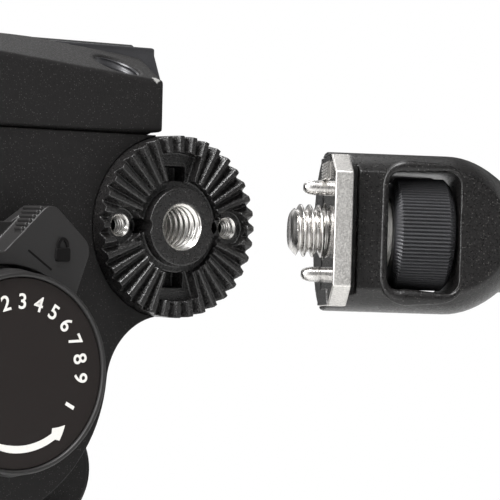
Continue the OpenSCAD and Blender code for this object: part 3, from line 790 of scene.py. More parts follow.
@dataclass
class Studio:
    """The camera, the lamps, the cards, the white surroundings and the floor."""

    eye: Point3 = (-212.8, -394.8, 76.86)
    bearing: float = 36.8
    roll: float = 1.33
    lens: float = 180.0
    ambient: float = 0.42
    floor_centre: Point3 = (70.0, -30.0, -0.4)
    floor_half: float = 3000.0
    floor_clear: Point2 = (200.0, 285.0)
    card_far: float = 760.0
    card_foot: float = 2.0
    card_high: float = 420.0
    front_arc: Arc = (225, 331, 5)
    back_arcs: tuple[Arc, ...] = ((10, 71, 5), (80, 126, 5))
    pale_arc: Arc = (70, 81, 5)
    ceiling_z: float = 760.0
    ceiling_half: float = 1100.0
    lamps: tuple[Softbox, ...] = (
        Softbox("top_softbox", (-150, -150, 570), (38, -39, 80), (190, 190), 4.4),
        Softbox("key_softbox", (-91, -325, 537), (30, -30, 80), (420, 360), 0.5),
        Softbox("left_softbox", (-520, -120, 260), (20, -30, 80), (320, 420), 5.0),
        Softbox("rear_softbox", (180, 380, 560), (40, -20, 80), (420, 320), 1.2),
    )

    def build(self) -> None:
        """Builds the whole studio."""
        self.camera()
        self.world()
        self.floor()
        grey = self.card_paint("card_matt_grey", "#7c7c7c", "#848484")
        dark = self.card_paint("card_matt_dark", "#464646", "#4c4c4c")
        pale = self.card_paint("card_matt_pale", "#d4d4d4", "#dadada")
        self.card("grey_card", self.wall(self.front_arc), grey)
        for arc in self.back_arcs:
            self.card("dark_card", self.wall(arc), dark)
        self.card("pale_card", self.wall(self.pale_arc), pale)
        self.card("grey_ceiling", self.ceiling(), grey)
        for lamp in self.lamps:
            lamp.hang()

    def camera(self) -> None:
        """Stands the camera where the photograph was taken from."""
        turn, lean = math.radians(self.bearing), math.radians(self.roll)
        ahead = Vector((math.sin(turn), math.cos(turn), 0))
        level = Vector((math.cos(turn), -math.sin(turn), 0))
        up = Vector((0, 0, 1))
        right = level * math.cos(lean) + up * math.sin(lean)
        above = up * math.cos(lean) - level * math.sin(lean)
        data = bpy.data.cameras.new("camera")
        data.lens, data.sensor_width, data.clip_start = self.lens, 36.0, 0.01
        eye = bpy.data.objects.new("camera", data)
        bpy.context.scene.collection.objects.link(eye)
        turned = Matrix((right, above, -ahead)).transposed().to_4x4()
        eye.matrix_world = Matrix.Translation(Vector(self.eye) * MM) @ turned
        bpy.context.scene.camera = eye
        bpy.context.scene.view_settings.view_transform = "Standard"

    @staticmethod
    def card_paint(name: str, low: str, high: str) -> Material:
        """Makes a card's matt paint, with fibres drawn at 2 mm.

        Args:
            name: The paint's name.
            low: The colour of its darkest fibres.
            high: The colour of its palest fibres.

        Returns:
            The new material.
        """
        made, tree = new_paint(name)
        fibre = add_node(tree, "TexNoise", {"Scale": 1 / (2 * MM), "Detail": 3.0})
        stops = {"stops": [(NOISE_LOW, linear(low)), (NOISE_HIGH, linear(high))]}
        tint = add_node(tree, "ValToRGB", stops, {"Fac": fibre.outputs[0]})
        matt = add_node(tree, "BsdfPrincipled", {"Roughness": 0.9}, {"Base Color": tint.outputs["Color"]})
        add_node(tree, "OutputMaterial", None, {"Surface": matt.outputs[0]})
        return made

    def wall(self, arc: Arc) -> Mesh:
        """Makes a standing card, which the metals and the glossy coats mirror.

        Args:
            arc: Where it starts, where it ends and its step, in degrees round the object.

        Returns:
            The card's mesh, in metres.
        """
        sheet = bmesh.new()
        rows = []
        for a in range(*arc):
            corners = [(*polar(self.card_far, a), z) for z in (self.card_foot, self.card_high)]
            rows.append([sheet.verts.new(Vector(corner) * MM) for corner in corners])
        for one, two in zip(rows, rows[1:]):
            sheet.faces.new((one[0], two[0], two[1], one[1]))
        return sheet

    def ceiling(self) -> Mesh:
        """Returns the card over the lamps, which keeps the round tops dark."""
        sheet = bmesh.new()
        bmesh.ops.create_grid(sheet, x_segments=4, y_segments=4, size=self.ceiling_half * MM)
        return moved(sheet, Matrix.Translation((0, 0, self.ceiling_z * MM)))

    @staticmethod
    def card(name: str, sheet: Mesh, paint: Material) -> None:
        """Stands a card that the camera doesn't see.

        Args:
            name: The card's name.
            sheet: Its mesh, in metres, which is freed.
            paint: Its material.
        """
        stood = stand(name, sheet, paint)
        stood.visible_camera = False

    @staticmethod
    def seen(tree: Tree) -> Socket:
        """Adds a test for the rays that see the background itself.

        Args:
            tree: The node tree.

        Returns:
            A socket that is 1 for camera, glossy and transmission rays.
        """
        path = add_node(tree, "LightPath")
        total = path.outputs["Is Camera Ray"]
        for ray in ("Is Glossy Ray", "Is Transmission Ray"):
            total = combined(tree, "MAXIMUM", total, path.outputs[ray])
        return total

    def world(self) -> None:
        """Makes a white surrounding that lights the object less than it shows."""
        sky = bpy.data.worlds.new("white_studio")
        sky.use_nodes = True
        tree = sky.node_tree
        tree.nodes.clear()
        span = {"To Min": self.ambient, "To Max": 1.0}
        strength = add_node(tree, "MapRange", span, {"Value": self.seen(tree)}).outputs[0]
        shown = add_node(tree, "Background", {"Color": (1, 1, 1, 1)}, {"Strength": strength})
        add_node(tree, "OutputWorld", None, {"Surface": shown.outputs[0]})
        bpy.context.scene.world = sky

    def floor(self) -> None:
        """Lays a pale floor that turns into the white surrounding away from the object."""
        made, tree = new_paint("paper_sweep_white")
        place = add_node(tree, "TexCoord").outputs["Object"]
        away = add_node(tree, "VectorMath", {"operation": "LENGTH"}, {0: place})
        start, end = (d * MM for d in self.floor_clear)
        edge = {"interpolation_type": "SMOOTHSTEP", "From Min": start, "From Max": end}
        fade = add_node(tree, "MapRange", edge, {"Value": away.outputs["Value"]})
        share = combined(tree, "MULTIPLY", fade.outputs[0], self.seen(tree))
        paper = add_node(tree, "BsdfPrincipled", {"Base Color": linear("#f4f4f3"), "Roughness": 0.9})
        glow = add_node(tree, "Emission", {"Color": (1, 1, 1, 1), "Strength": 1.0})
        layers = {0: share, 1: paper.outputs[0], 2: glow.outputs[0]}
        both = add_node(tree, "MixShader", None, layers)
        add_node(tree, "OutputMaterial", None, {"Surface": both.outputs[0]})
        sheet = bmesh.new()
        bmesh.ops.create_grid(sheet, x_segments=8, y_segments=8, size=self.floor_half * MM)
        laid = stand("floor", sheet, made)
        laid.location = Vector(self.floor_centre) * MM


@dataclass
class BaseStack:
    """The base, its insert and the pan drag ring that turns on its neck."""

    ring_low: float = 9.4
    ring_high: float = 19.4
    ring_r: float = 36.0
    ring_bore: float = 26.4
    ring_edge: float = 0.8
    ring_ribs: int = 60
    rib_depth: float = 0.55
    rib_run: float = 0.6
    insert_top: float = 7.45
    insert_bore: float = 4.15
    insert_depth: float = 7.4
    insert_thread: float = 0.4

    def build(self) -> None:
        """Builds and dresses the stack."""
        dress("base_plate", POWDER, edge=0.8)
        dress("base_insert", TAPPED, edge=0.3)
        dress("pan_spindle", STEEL)
        dress("pan_bearing", BRONZE, edge=0.2)
        dress("pan_nut", STEEL, edge=0.2)
        self.drag_ring()
        place = facing((0, 0, self.insert_top), (0, 0, -1), (0, 1, 0))
        mesh = sleeve(self.insert_bore, self.insert_depth, PITCH_3_8, self.insert_thread)
        add_piece("base_insert_thread", mesh, TAPPED, "base", place)

    def drag_ring(self) -> None:
        """Makes the ribbed ring."""
        low, high, rim, bore = self.ring_low, self.ring_high, self.ring_r, self.ring_bore

        def ribs(station: float, radius: float, angle: float) -> Point2:
            wave = 0.5 + 0.5 * math.cos(self.ring_ribs * angle)
            into = min(station - low - self.ring_edge, high - self.ring_edge - station)
            inside = min(1.0, max(0.0, into / self.rib_run))
            share = inside if radius > rim - 1 else 0.0
            return station, radius - self.rib_depth * share * wave**2

        edge = rounded([(low, bore), (low, rim), (high, rim), (high, bore)], self.ring_edge)
        rows, inset = 10, 1.0
        stations = [(low + inset + (high - low - 2 * inset) * i / rows, rim) for i in range(rows + 1)]
        split = len(edge) // 2
        profile = edge[:split] + stations + edge[split:]
        mesh = lathe(profile, self.ring_ribs * 8, ribs, closed=True)
        place = facing((0, 0, 0), (0, 0, 1), (0, 1, 0))
        add_piece("drag_ring_ribbed", mesh, NYLON, "drag_ring", place, ["pan_drag_ring"])


@dataclass
class PanHousing:
    """The pan body with its lock lever and the tilt hub inside it."""

    def build(self) -> None:
        """Dresses the housing."""
        dress("pan_body", POWDER, edge=0.7)
        dress("pan_lock_lever", NYLON, skin=0.25, passes=8)
        dress("hub_cover", ANODISED, edge=0.3)
        dress("hub_bushings", BRONZE, edge=0.2)
        dress("damper_cartridge", ANODISED)
        dress("spring_cartridge", ANODISED)


@dataclass
class Cradle:
    """The tilting cradle with a toothed rosette on each cheek."""

    axis_x: float = 38.2
    axis_z: float = 80.6
    boss_y: float = 39.5
    inner_y: float = 21.5
    pocket_y: float = 36.9
    back_y: float = 33.1
    bore: float = 4.15
    small_bore: float = 1.65
    small_off: float = 11.4
    small_pitch: float = 0.7
    small_sink: float = 0.35
    back_off: float = 11.3
    back_sink: float = 0.3
    back_size: tuple[float, float, float, float] = (2.75, 2.55, 1.48, 13.3)

    def build(self) -> None:
        """Builds and dresses the cradle."""
        dress("cradle", POWDER, edge=0.3)
        dress("cradle_beam", POWDER)
        dress("tilt_shaft", STEEL)
        for side, node in ((-1, "rosette_near"), (1, "rosette_far")):
            dress(node, WRINKLE, skin=0.13, passes=2)
            self.threads(side, node)
        self.back_screws()

    def threads(self, side: int, node: str) -> None:
        """Lines a rosette's tapped holes.

        Args:
            side: The side of the head, -1 or 1.
            node: The rosette's node.
        """
        place = facing((self.axis_x, side * self.inner_y, self.axis_z), (0, side, 0))
        recess, thread_d, small_d = 0.08, 0.6, 0.28
        walls = [sleeve(self.bore, self.boss_y - self.inner_y - recess, PITCH_3_8, thread_d)]
        length = self.pocket_y - self.back_y
        for off in (-self.small_off, self.small_off):
            wall = sleeve(self.small_bore, length, self.small_pitch, small_d, self.small_sink)
            shift = Vector((self.back_y - self.inner_y, off, 0)) * MM
            walls.append(moved(wall, Matrix.Translation(shift)))
        add_piece(node + "_threads", joined(walls), TAPPED, "cradle", place)

    def back_screws(self) -> None:
        """Makes the socket screws that hold the rosettes from inside."""
        made = []
        for side in (-1, 1):
            for degrees in (45, 135, 225, 315):
                off_x, off_z = polar(self.back_off, degrees)
                seat_y = side * (self.inner_y + self.back_sink)
                origin = (self.axis_x + off_x, seat_y, self.axis_z + off_z)
                made.append(moved(cap_screw(*self.back_size), facing(origin, (0, side, 0))))
        whole = joined(made)
        add_piece("rosette_back_screws", whole, STEEL, "cradle", None, ["rosette_screws"])


@dataclass
class TiltControls:
    """The drag knob with its dial and lock lever, and the counterbalance knob opposite."""

    axis_z: float = 56.0
    knob_in: float = 40.3
    knob_out: float = 49.5
    knob_r: float = 17.0
    knob_floor: float = 46.9
    knob_bore: float = 4.05
    lip_r: float = 16.5
    flats: int = 14
    flat_phase: float = 12.0
    dial_r: float = 15.6
    dial_in: float = 48.2
    dial_out: float = 49.0
    film_gap: float = 0.05
    figure_r: float = 11.6
    figure_h: float = 2.5
    figure_step: float = 15.5
    last_figure: float = -4.0
    tick_at: float = -29.0
    tick_r: Point2 = (10.2, 12.0)
    tick_w: float = 0.6
    arrow_r: float = 12.3
    arrow_from: float = -150.0
    arrow_span: float = 106.0
    lever_face: float = 43.9
    ramp_top: Point2 = (7.07, 26.78)
    ramp_lean: float = 44.0
    rib_count: int = 6
    rib_r: float = 0.36
    rib_proud: float = 0.35
    rib_l: float = 6.0
    rib_less: float = 0.65
    mark_at: Point2 = (9.4, 18.2)
    mark_size: Point2 = (2.9, 2.3)
    bow_size: Point2 = (0.9, 1.4)
    bow_w: float = 0.5
    # Ends of the dark stroke painted as the shade of the engraved index groove.
    index_line: tuple[Point2, Point2] = ((4.2, 20.0), (8.8, 16.8))
    bal_dial_r: float = 13.5
    bal_in: float = 45.6
    bal_out: float = 46.4
    bal_steps: int = 8
    bal_from: float = 225.0
    bal_span: float = 270.0
    bal_tick_r: Point2 = (10.9, 12.6)
    bal_tick_w: float = 0.5
    bal_figure_r: float = 8.6
    bal_figure_h: float = 2.6

    def build(self) -> None:
        """Builds and dresses the controls."""
        dress("tilt_lock_lever", NYLON, skin=0.14, passes=2)
        dress("counterbalance_knob", NYLON, edge=0.6)
        self.knob()
        self.film("drag_dial", "drag_knob", self.side(-1), self.dial_r, (self.dial_in, self.dial_out))
        self.drag_print()
        steps = (self.bal_in, self.bal_out)
        self.film("counterbalance_dial", "counterbalance", self.side(1), self.bal_dial_r, steps)
        self.balance_print()
        self.lock_mark()
        self.lever_ribs()

    def side(self, sign: int) -> Matrix:
        """Returns the place of a piece on the tilt axis, on the near side for -1."""
        return facing((0, 0, self.axis_z), (0, sign, 0))

    def film(self, node: str, body: str, place: Matrix, radius: float, faces: Point2) -> None:
        """Makes a dial's film with a broken upper edge.

        Args:
            node: The node that it stands for.
            body: The body that it rides on.
            place: The knob's place.
            radius: Radius of the seat that it lies in.
            faces: Stations of its lower and upper face.
        """
        (low, high), rim = faces, radius - self.film_gap
        mesh = lathe(rounded([(low, 0), (low, rim), (high, rim), (high, 0)], 0.15), 128)
        add_piece(node + "_film", mesh, DIAL_FILM, body, place, [node])

    def knob(self) -> None:
        """Makes the faceted knob with a round lip."""
        step = math.tau / self.flats
        apothem = self.knob_r * math.cos(step / 2)

        def facets(station: float, radius: float, angle: float) -> Point2:
            if radius < self.knob_r - 0.5 or station > self.knob_out - 1.5:
                return station, radius
            corner = (angle - math.radians(self.flat_phase) + step / 2) % step - step / 2
            return station, min(radius, apothem / math.cos(step / 2 - abs(corner)) + 0.02)

        lip = rounded(
            [
                (self.knob_in, self.knob_bore),
                (self.knob_in, self.knob_r),
                (self.knob_out - 2.2, self.knob_r),
                (self.knob_out - 1.7, self.lip_r),
                (self.knob_out, self.lip_r),
                (self.knob_out, self.dial_r + 0.06),
                (self.dial_in, self.dial_r + 0.02),
            ],
            0.6,
        )
        profile = [(self.knob_floor, 0), (self.knob_floor, self.knob_bore), *lip, (self.dial_in, 0)]
        mesh = lathe(profile, self.flats * 16, facets)
        place = self.side(-1)
        add_piece("drag_knob_faceted", mesh, NYLON, "drag_knob", place, ["drag_knob"])

    @staticmethod
    def printed(text: str, height: float, bold: float, face: float, at: Point2) -> Mesh:
        """Makes a figure that stands upright along a dial's radius.

        Args:
            text: The figure.
            height: Its height.
            bold: Added stroke width, as a share of the height.
            face: Station of the ink's middle.
            at: Radius and angle of its middle.

        Returns:
            The figure's mesh, in metres.
        """
        turn = Matrix.Rotation(math.radians(at[1] - 90), 4, "X")
        shift = Matrix.Translation(Vector((face, *polar(*at))) * MM)
        return moved(glyphs(text, height, bold), shift @ turn)

    def drag_print(self) -> None:
        """Prints the drag dial: figures up the right side, a tick, and an arrow along the bottom."""
        face = self.dial_out + INK_HALF
        marks = []
        for k, figure in enumerate("9876543210"):
            at = (self.figure_r, self.last_figure + self.figure_step * k)
            marks.append(self.printed(figure, self.figure_h, 0.02, face, at))
        tick = stroke([polar(r, self.tick_at) for r in self.tick_r], [self.tick_w] * 2)
        steps, head = 40, 36
        arrow = [
            polar(self.arrow_r, self.arrow_from + self.arrow_span * k / steps) for k in range(steps + 1)
        ]
        widths = [0.3 + 0.9 * min(1.0, k / 20) for k in range(head)]
        widths += [2.5 * (steps - k) / 4 + 0.02 for k in range(head, steps + 1)]
        for mark in (tick, stroke(arrow, widths)):
            marks.append(moved(mark, Matrix.Translation((face * MM, 0, 0))))
        add_piece("drag_dial_print", joined(marks), INK, "drag_knob", self.side(-1))

    def balance_print(self) -> None:
        """Prints the counterbalance dial's steps."""
        face = self.bal_out + INK_HALF
        marks = []
        for k in range(self.bal_steps):
            degrees = self.bal_from - self.bal_span * k / (self.bal_steps - 1)
            at = (self.bal_figure_r, degrees)
            marks.append(self.printed(str(k), self.bal_figure_h, 0.015, face, at))
            tick = stroke([polar(r, degrees) for r in self.bal_tick_r], [self.bal_tick_w] * 2)
            marks.append(moved(tick, Matrix.Translation((face * MM, 0, 0))))
        place = self.side(1)
        add_piece("counterbalance_dial_print", joined(marks), INK, "counterbalance", place)

    def lever_ribs(self) -> None:
        """Raises the thumb ribs on the lever's ramp, one to a millimetre."""
        lean, r = math.radians(self.ramp_lean), self.rib_r
        made = []
        for k in range(self.rib_count):
            y = self.ramp_top[0] - k * math.cos(lean) - self.rib_proud * math.sin(lean)
            z = self.ramp_top[1] - k * math.sin(lean) + self.rib_proud * math.cos(lean)
            low, high = self.lever_face - self.rib_l + self.rib_less * k, self.lever_face - 0.2
            bar = lathe(rounded([(low, 0), (low, r), (high, r), (high, 0)], r), 24)
            made.append(moved(bar, Matrix.Translation(Vector((0, y, z)) * MM)))
        add_piece("tilt_lock_ribs", joined(made), NYLON, "tilt_lock", self.side(-1))

    def lock_mark(self) -> None:
        """Raises a small closed-lock mark on the lever's face, beside a dark stroke of painted shade
        where the engraved index groove lies.
        """
        place, face = self.side(-1), self.lever_face - 0.05
        (left, low), (wide, high) = self.mark_at, self.mark_size
        corners = [(left, low), (left + wide, low), (left + wide, low + high), (left, low + high)]
        parts = [slab(rounded(corners, 0.5, 3, True), face, face + 0.4, 0.2)]
        bow, (bow_y, bow_z) = [], self.bow_size
        for k in range(13):
            a = math.pi * k / 12
            bow.append((left + wide / 2 + bow_y * math.cos(a), low + high + 0.1 + bow_z * math.sin(a)))
        arch = stroke(bow, [self.bow_w] * len(bow))
        bmesh.ops.scale(arch, vec=(14, 1, 1), verts=arch.verts)
        parts.append(moved(arch, Matrix.Translation(((face + 0.15) * MM, 0, 0))))
        add_piece("tilt_lock_mark", joined(parts), INK_BLACK_AND_GROOVE_SHADE, "tilt_lock", place)
        # Painted shade: a dark stroke flat on the face stands for the shade in the engraved index groove.
        line = stroke(self.index_line, [0.35, 0.35])
        line = moved(line, Matrix.Translation((self.lever_face * MM, 0, 0)))
        add_piece("tilt_lock_index_groove_shade", line, INK_BLACK_AND_GROOVE_SHADE, "tilt_lock", place)


@dataclass
class PlateClamp:
    """The clamp that holds the camera plate, with its lock lever, shoe and button."""

    hole_x: float = 29.4
    hole_y: float = -31.0
    hole_low: float = 98.45
    hole_r: float = 3.95
    side_y: float = -36.0
    side_z: float = 109.3
    fall: float = 5.4
    bevel: float = 23.5
    screw_x: float = 25.0
    screw_y: float = 14.0
    screw_z: float = 86.4
    screw_size: tuple[float, float, float, float] = (3.5, 3.6, 1.97, 15.6)
    button_x: float = 18.0
    button_z: float = 101.6
    button_r: float = 4.0
    stem_r: float = 2.15
    stem_end: float = 29.0
    head_back: float = 35.0
    head_face: float = 38.5

    def build(self) -> None:
        """Builds and dresses the clamp."""
        # The clamp's coat carries a painted highlight, a pale patch at the rail's rear corner.
        dress("clamp_body", POWDER_PAINTED_GLINT, skin=0.35, passes=7)
        dress("clamp_shoe", BRONZE, edge=0.3)
        dress("plate_lock_lever", NYLON, skin=0.28, passes=8)
        self.rail_thread()
        self.screws()
        self.button()

    def bevel_height(self, x: float, y: float) -> float:
        """Returns the height of the near rail's bevel over a point of the plan."""
        fall, lean = math.radians(self.fall), math.radians(self.bevel)
        rise = (y - self.side_y) * math.tan(lean) / math.cos(fall)
        return self.side_z + min(0.0, -x * math.tan(fall)) + rise

    def rail_thread(self) -> None:
        """Lines the rail's tapped hole up to the slanting bevel."""
        top = self.bevel_height(self.hole_x, self.hole_y) - self.hole_low
        thread_d, recess = 0.45, 0.4
        mesh = sleeve(self.hole_r, top, PITCH_3_8, thread_d)
        for vert in mesh.verts:
            x, y = self.hole_x + vert.co.y / MM, self.hole_y + vert.co.z / MM
            vert.co.x *= (self.bevel_height(x, y) - recess - self.hole_low) / top
        place = facing((self.hole_x, self.hole_y, self.hole_low), (0, 0, 1), (0, 1, 0))
        add_piece("rail_thread", mesh, ANODISED, "cradle", place)

    def screws(self) -> None:
        """Makes the socket screws that hold the clamp on the cradle's beam."""
        made = []
        for x in (-self.screw_x, self.screw_x):
            for y in (-self.screw_y, self.screw_y):
                place = facing((x, y, self.screw_z), (0, 0, 1), (0, 1, 0))
                made.append(moved(cap_screw(*self.screw_size), place))
        whole = joined(made)
        add_piece("clamp_socket_screws", whole, STEEL, "cradle", None, ["clamp_screws"])

    def button(self) -> None:
        """Makes the domed safety button."""
        r, stem, back, face, crown = self.button_r, self.stem_r, self.head_back, self.head_face, 0.9
        dome = []
        for k in range(8):
            t = math.radians(90 * (1 - k / 8))
            dome.append((face - crown * (1 - math.cos(t)), r * math.sin(t) * 0.98))
        profile = [(self.stem_end, 0), (self.stem_end, stem), (back, stem), (back, r - 0.1)]
        profile += [(back + 0.3, r), (face - 1.3, r), *dome, (face, 0)]
        place, mesh = facing((self.button_x, 0, self.button_z), (0, 1, 0)), lathe(profile, 64)
        add_piece("safety_button_domed", mesh, RED_ABS, "button", place, ["safety_button"])


@dataclass
class CameraPlate:
    """The sliding plate with its rubber strips and two camera screws."""

    pad_low: float = 112.8
    pad_high: float = 113.5
    pad_x: Point2 = (-55.2, 40.8)
    pad_y: Point2 = (8.5, 19.5)
    rib: float = 2.2
    rib_d: float = 0.3
    head_z: float = 104.9
    head_r: float = 7.5
    head_h: float = 2.4
    knurls: int = 40
    knurl_d: float = 0.2
    thread_z: float = 113.2
    tip_z: float = 119.0

    def build(self) -> None:
        """Builds and dresses the plate."""
        dress("sliding_plate", ANODISED, edge=0.45)
        self.pads()
        self.screw("camera_screw_quarter", "screw_quarter", -2.0, 3.175, PITCH_1_4)
        self.screw("camera_screw_three_eighths", "screw_three_eighths", -26.0, 4.7625, PITCH_3_8)

    def pads(self) -> None:
        """Makes the two rubber strips, ribbed along their length."""
        (low, high), (start, end) = self.pad_y, self.pad_x
        base, top, valley = self.pad_low, self.pad_high, self.pad_high - self.rib_d
        ribs = round((high - low) / self.rib)
        crown = []
        for k in range(ribs):
            y = low + (high - low) * k / ribs
            crown += [(y + 0.3, top), (y + self.rib - 0.5, top), (y + self.rib - 0.1, valley)]
        outline = [(low, base), (low, valley), *crown[:-1], (high, valley), (high, base)]
        section = rounded(outline, 0.12, 2, True)
        ends = ((start, 0.6), (start + 0.3, 1), (end - 0.3, 1), (end, 0.6))
        strips = []
        for side in (-1, 1):
            rings = [[(x, side * y, base + (z - base) * fall) for y, z in section] for x, fall in ends]
            strips.append(loft(rings))
        add_piece("plate_strips", joined(strips), RUBBER, "plate", None, ["plate_pads"])

    def screw(self, node: str, body: str, x: float, radius: float, pitch: float) -> None:
        """Makes a camera screw with a knurled head under the plate.

        Args:
            node: The node that it stands for.
            body: The body that it rides on.
            x: Its place along the plate.
            radius: Radius of its thread.
            pitch: Pitch of its thread.
        """
        start, tip = self.thread_z - self.head_z, self.tip_z - self.head_z
        count = round((tip - start) / pitch * TURN_ROWS)
        cut = thread(radius, pitch * 0.54, pitch)
        shank = radius - 0.6

        def form(station: float, r: float, angle: float) -> Point2:
            if station < self.head_h and r > self.head_r - 0.5:
                return station, r - self.knurl_d * (0.5 + 0.5 * math.cos(self.knurls * angle))
            return cut(station, r, angle) if station > start - 0.5 else (station, r)

        head = [(0, 0), (0, self.head_r), (self.head_h, self.head_r), (self.head_h, shank)]
        rows = [(start + (tip - start) * i / count, radius) for i in range(count + 1)]
        rows = [(z, min(r, radius - 0.9 + (tip - z))) for z, r in rows]
        profile = [*rounded(head, 0.4), (start - 0.3, shank), *rows, (tip, 0)]
        place = facing((x, 0, self.head_z), (0, 0, 1), (0, 1, 0))
        add_piece(node + "_threaded", lathe(profile, 160, form), STEEL, body, place, [node])


@dataclass
class PanBar:
    """The pan bar with its clamp: screw, locating plate and pins, thumb wheel, tube and grip."""

    tip: Point3 = (62.0, -38.9, 80.6)
    turn: Point3 = (-2.0, 0.6, -30.6)
    screw_r: float = 4.7625
    thread_d: float = 0.97
    thread_start: float = 0.5
    thread_end: float = 6.1
    relief_r: float = 4.16
    relief_end: float = 11.3
    journal_r: float = 3.5
    journal_end: float = 33.4
    face_x: float = 6.4
    face_half: float = 0.03
    face_upper: tuple[Point2, ...] = ((4.9, 10.4), (-5.6, 10.4), (-7.5, 13.3), (-12.9, 10.0))
    rim_upper: tuple[Point2, ...] = (
        (4.8, 2.4), (4.8, 13.3), (-7.3, 13.3), (-5.6, 10.5), (1.6, 10.5),
        (1.6, 5.1), (2.6, 4.6), (3.6, 3.9), (4.4, 2.9),
    )
    pad_y: Point2 = (-6.6, 0.7)
    pad_z: Point2 = (9.1, 12.3)
    ridges: int = 6
    ridge_step: float = 0.53
    pin_tip: float = 2.5
    pin_end: float = 11.7
    pin_off: float = 7.8
    pin_r: float = 1.35
    wheel_x: Point2 = (17.9, 29.0)
    wheel_r: float = 10.1
    wheel_edge: float = 1.3
    wheel_ribs: int = 92
    wheel_rib_d: float = 0.42
    window_x: Point2 = (16.5, 29.4)
    window_z: float = 10.9
    window_r: float = 3.4
    flat_y: float = 9.8
    lip_r: float = 1.2
    lip_near: Point2 = (1.25, 0.9)
    lip_far: Point2 = (1.7, 1.3)
    grip_x: Point2 = (61.4, 169.4)
    grip_r: float = 13.0
    grip_swell: float = 0.25
    grip_end_r: float = 1.4
    groove_step: float = 6.0
    groove_d: float = 0.75
    tube_r: float = 8.0

    @property
    def place(self) -> Matrix:
        """Where the bar's own axes stand, with X along the screw from its tip."""
        place = Matrix.Translation(Vector(self.tip) * MM)
        for angle, axis in zip(reversed(self.turn), "ZYX"):
            place = place @ Matrix.Rotation(math.radians(angle), 4, axis)
        return place

    def build(self) -> None:
        """Builds and dresses the bar."""
        dress("bar_housing", POWDER_GLOSSY, skin=0.22, passes=6)
        dress("wheel_washer", NYLON_NATURAL, edge=0.15)
        dress("locating_plate", BLASTED, edge=0.3)
        dress("bar_tube", ANODISED, edge=0.2)
        dress("bar_cap", NYLON, edge=0.8)
        self.plate_face()
        self.housing_rim()
        self.pad()
        self.screw()
        self.pins()
        self.wheel()
        self.lips()
        self.grip()

    def screw(self) -> None:
        """Makes the clamp screw with its thread and rounded tip."""
        cut = thread(self.screw_r, self.thread_d, PITCH_3_8)
        start, end = self.thread_start, self.thread_end

        def form(station: float, radius: float, angle: float) -> Point2:
            return cut(station, radius, angle) if station <= end else (station, radius)

        profile = [(0.0, 0), (0.0, 2.6), (0.12, 3.05), (0.4, 3.5)]
        count = round((end - start) / PITCH_3_8 * 2 * TURN_ROWS)
        for i in range(count + 1):
            x = start + (end - start) * i / count
            profile.append((x, min(self.screw_r, 3.6 + 1.05 * (x - start))))
        profile += [(end + 0.05, self.relief_r), (self.relief_end, self.relief_r)]
        profile += [(self.relief_end, self.journal_r), (self.journal_end, self.journal_r)]
        profile.append((self.journal_end, 0))
        mesh = lathe(profile, 144, form)
        add_piece("bar_screw_threaded", mesh, STEEL, "wheel", self.place, ["bar_screw"])

    def plate_face(self) -> None:
        """Makes the locating plate's ground face round the screw."""
        front, back = self.face_x - self.face_half, self.face_x + self.face_half
        low = [(y, -z) for y, z in reversed(self.face_upper)]
        corners = [low[-1], *self.face_upper, *low[:-1]]
        outline, steps = [], 12
        for one, two in zip(corners, corners[1:] + corners[:1]):
            outline += [tuple(Vector(one).lerp(Vector(two), k / steps)) for k in range(steps)]
        bore = [tuple(Vector(point).normalized() * (self.screw_r + 0.35)) for point in outline]
        rings = []
        for x, ring in ((back, bore), (back, outline), (front, outline), (front, bore)):
            rings.append([(x, *point) for point in ring])
        face = loft(rings, closed=True)
        add_piece("locating_plate_face", face, GROUND, "bar", self.place)

    def housing_rim(self) -> None:
        """Makes the thin rim of the housing that shows beyond the ground face."""
        low, high = self.face_x - 0.14, self.face_x + 0.04
        lower = [(y, -z) for y, z in reversed(self.rim_upper)]
        halves = [slab(line, low, high, 0.02) for line in (self.rim_upper, lower)]
        add_piece("housing_rim", joined(halves), POWDER_GLOSSY, "bar", self.place)

    def pad(self) -> None:
        """Makes the ridged pad at the top of the ground face."""
        base, valley, ridge = self.face_x + 0.04, self.face_x - 0.3, self.face_x - 0.62
        (low, high), (start, end) = self.pad_z, self.pad_y
        crown = [(base, low)]
        for k in range(self.ridges):
            z = low + self.ridge_step * k
            crown += [(valley, z + 0.05), (ridge, z + 0.2), (ridge, z + 0.4)]
        crown += [(valley, high), (base, high)]
        mesh = loft([[(x, y, z) for x, z in crown] for y in (start, start + 0.1, end - 0.1, end)])
        add_piece("locating_plate_pad", mesh, TAPPED, "bar", self.place)

    def pins(self) -> None:
        """Makes the two bullet-nosed locating pins."""
        end, rim = self.pin_end, self.pin_r
        nose = [(0.0, 0), (0.0, 0.55), (0.12, 0.78), (0.4, 0.98), (0.9, 1.18), (1.5, 1.32), (2.0, rim)]
        profile = [(self.pin_tip + x, r) for x, r in nose] + [(end, rim), (end, 0)]
        both = []
        for side in (-1, 1):
            shift = Matrix.Translation((0, 0, side * self.pin_off * MM))
            both.append(moved(lathe(profile, 48), shift))
        pair = joined(both)
        add_piece("locating_pins_bullet", pair, STEEL, "bar", self.place, ["locating_pins"])

    def wheel(self) -> None:
        """Makes the ribbed thumb wheel."""
        (start, end), rim, edge = self.wheel_x, self.wheel_r, self.wheel_edge

        def ribs(station: float, radius: float, angle: float) -> Point2:
            inside = min(1.0, max(0.0, min(station - start, end - station) / edge - 0.15))
            if radius < rim - edge - 0.3:
                return station, radius
            wave = 0.5 + 0.5 * math.cos(self.wheel_ribs * angle)
            return station, radius - self.wheel_rib_d * inside * wave**1.5

        corner = rounded([(start, 3.55), (start, rim - edge), (start + edge, rim)], 0.7)
        rows = [(start + edge + 0.1 + (end - start - 2 * edge - 0.2) * i / 6, rim) for i in range(7)]
        mirror = [(start + end - x, r) for x, r in reversed(corner)]
        mesh = lathe([*corner, *rows, *mirror], self.wheel_ribs * 8, ribs, closed=True)
        add_piece("thumb_wheel_ribbed", mesh, ANODISED, "wheel", self.place, ["thumb_wheel"])

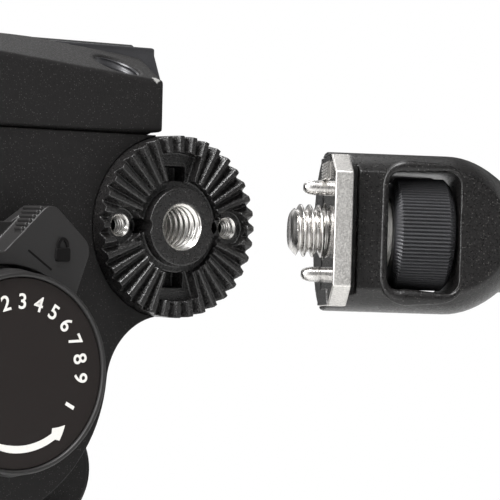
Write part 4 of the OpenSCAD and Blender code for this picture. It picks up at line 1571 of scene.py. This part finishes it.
    def lips(self) -> None:
        """Raises the rounded lip round the window on both flats, thicker along the lower edge."""
        (x0, x1), z1, out = self.window_x, self.window_z + 0.2, 0.2
        corners = [(x0 - out, -z1), (x1 + out, -z1), (x1 + out, z1), (x0 - out, z1)]
        line = rounded(corners, self.window_r, 8, True)
        both = []
        for side, (low, high) in ((-1, self.lip_near), (1, self.lip_far)):
            rings = []
            for i, here in enumerate(line):
                ahead = Vector(line[(i + 1) % len(line)]) - Vector(line[i - 1])
                away = Vector((ahead.y, -ahead.x)).normalized()
                across = (here[0] - x0) / (x1 - x0)
                swell = min(1.0, 0.5 + 2 * max(0.0, across), 1.9 - 1.65 * across)
                thick = self.lip_r * swell * (low if here[1] < 0 else high)
                ring = []
                for k in range(13):
                    a = math.pi * k / 12
                    p = Vector(here) + away * (0.5 - 0.35 * (side > 0) * swell - thick * math.cos(a))
                    ring.append((p.x, side * (self.flat_y - 0.25 + 0.75 * thick * math.sin(a)), p.y))
                rings.append(ring)
            both.append(loft(rings, closed=True))
        add_piece("window_lips", joined(both), POWDER_GLOSSY, "bar", self.place)

    def grip(self) -> None:
        """Makes the soft grip with its rings of grooves."""
        (start, end), bore, steps = self.grip_x, self.tube_r + 0.05, 360
        profile = [(start, bore)]
        for i in range(steps + 1):
            x = start + (end - start) * i / steps
            into = min(x - start, end - x)
            short = 1 - min(1.0, into / self.grip_end_r)
            round_end = self.grip_end_r * (1 - math.sqrt(max(0.0, 1 - short**2)))
            wave = ((x - start) % self.groove_step - self.groove_step / 2) / self.groove_d
            groove = self.groove_d * math.exp(-(wave**2)) if into > self.groove_step else 0.0
            swell = self.grip_swell * math.sin(math.pi * (x - start) / (end - start))
            profile.append((x, self.grip_r - self.grip_swell + swell - round_end - groove))
        profile.append((end, bore))
        mesh = lathe(profile, 96, closed=True)
        add_piece("bar_grip_grooved", mesh, RUBBER, "bar", self.place, ["bar_grip"])


def main() -> None:
    """Builds the studio and every sub-assembly."""
    logging.basicConfig(level=logging.INFO, format="%(message)s")
    for part in (Studio, BaseStack, PanHousing, Cradle, TiltControls, PlateClamp, CameraPlate, PanBar):
        part().build()
        LOG.info("%s done", part.__name__)


if __name__ == "__main__":
    main()
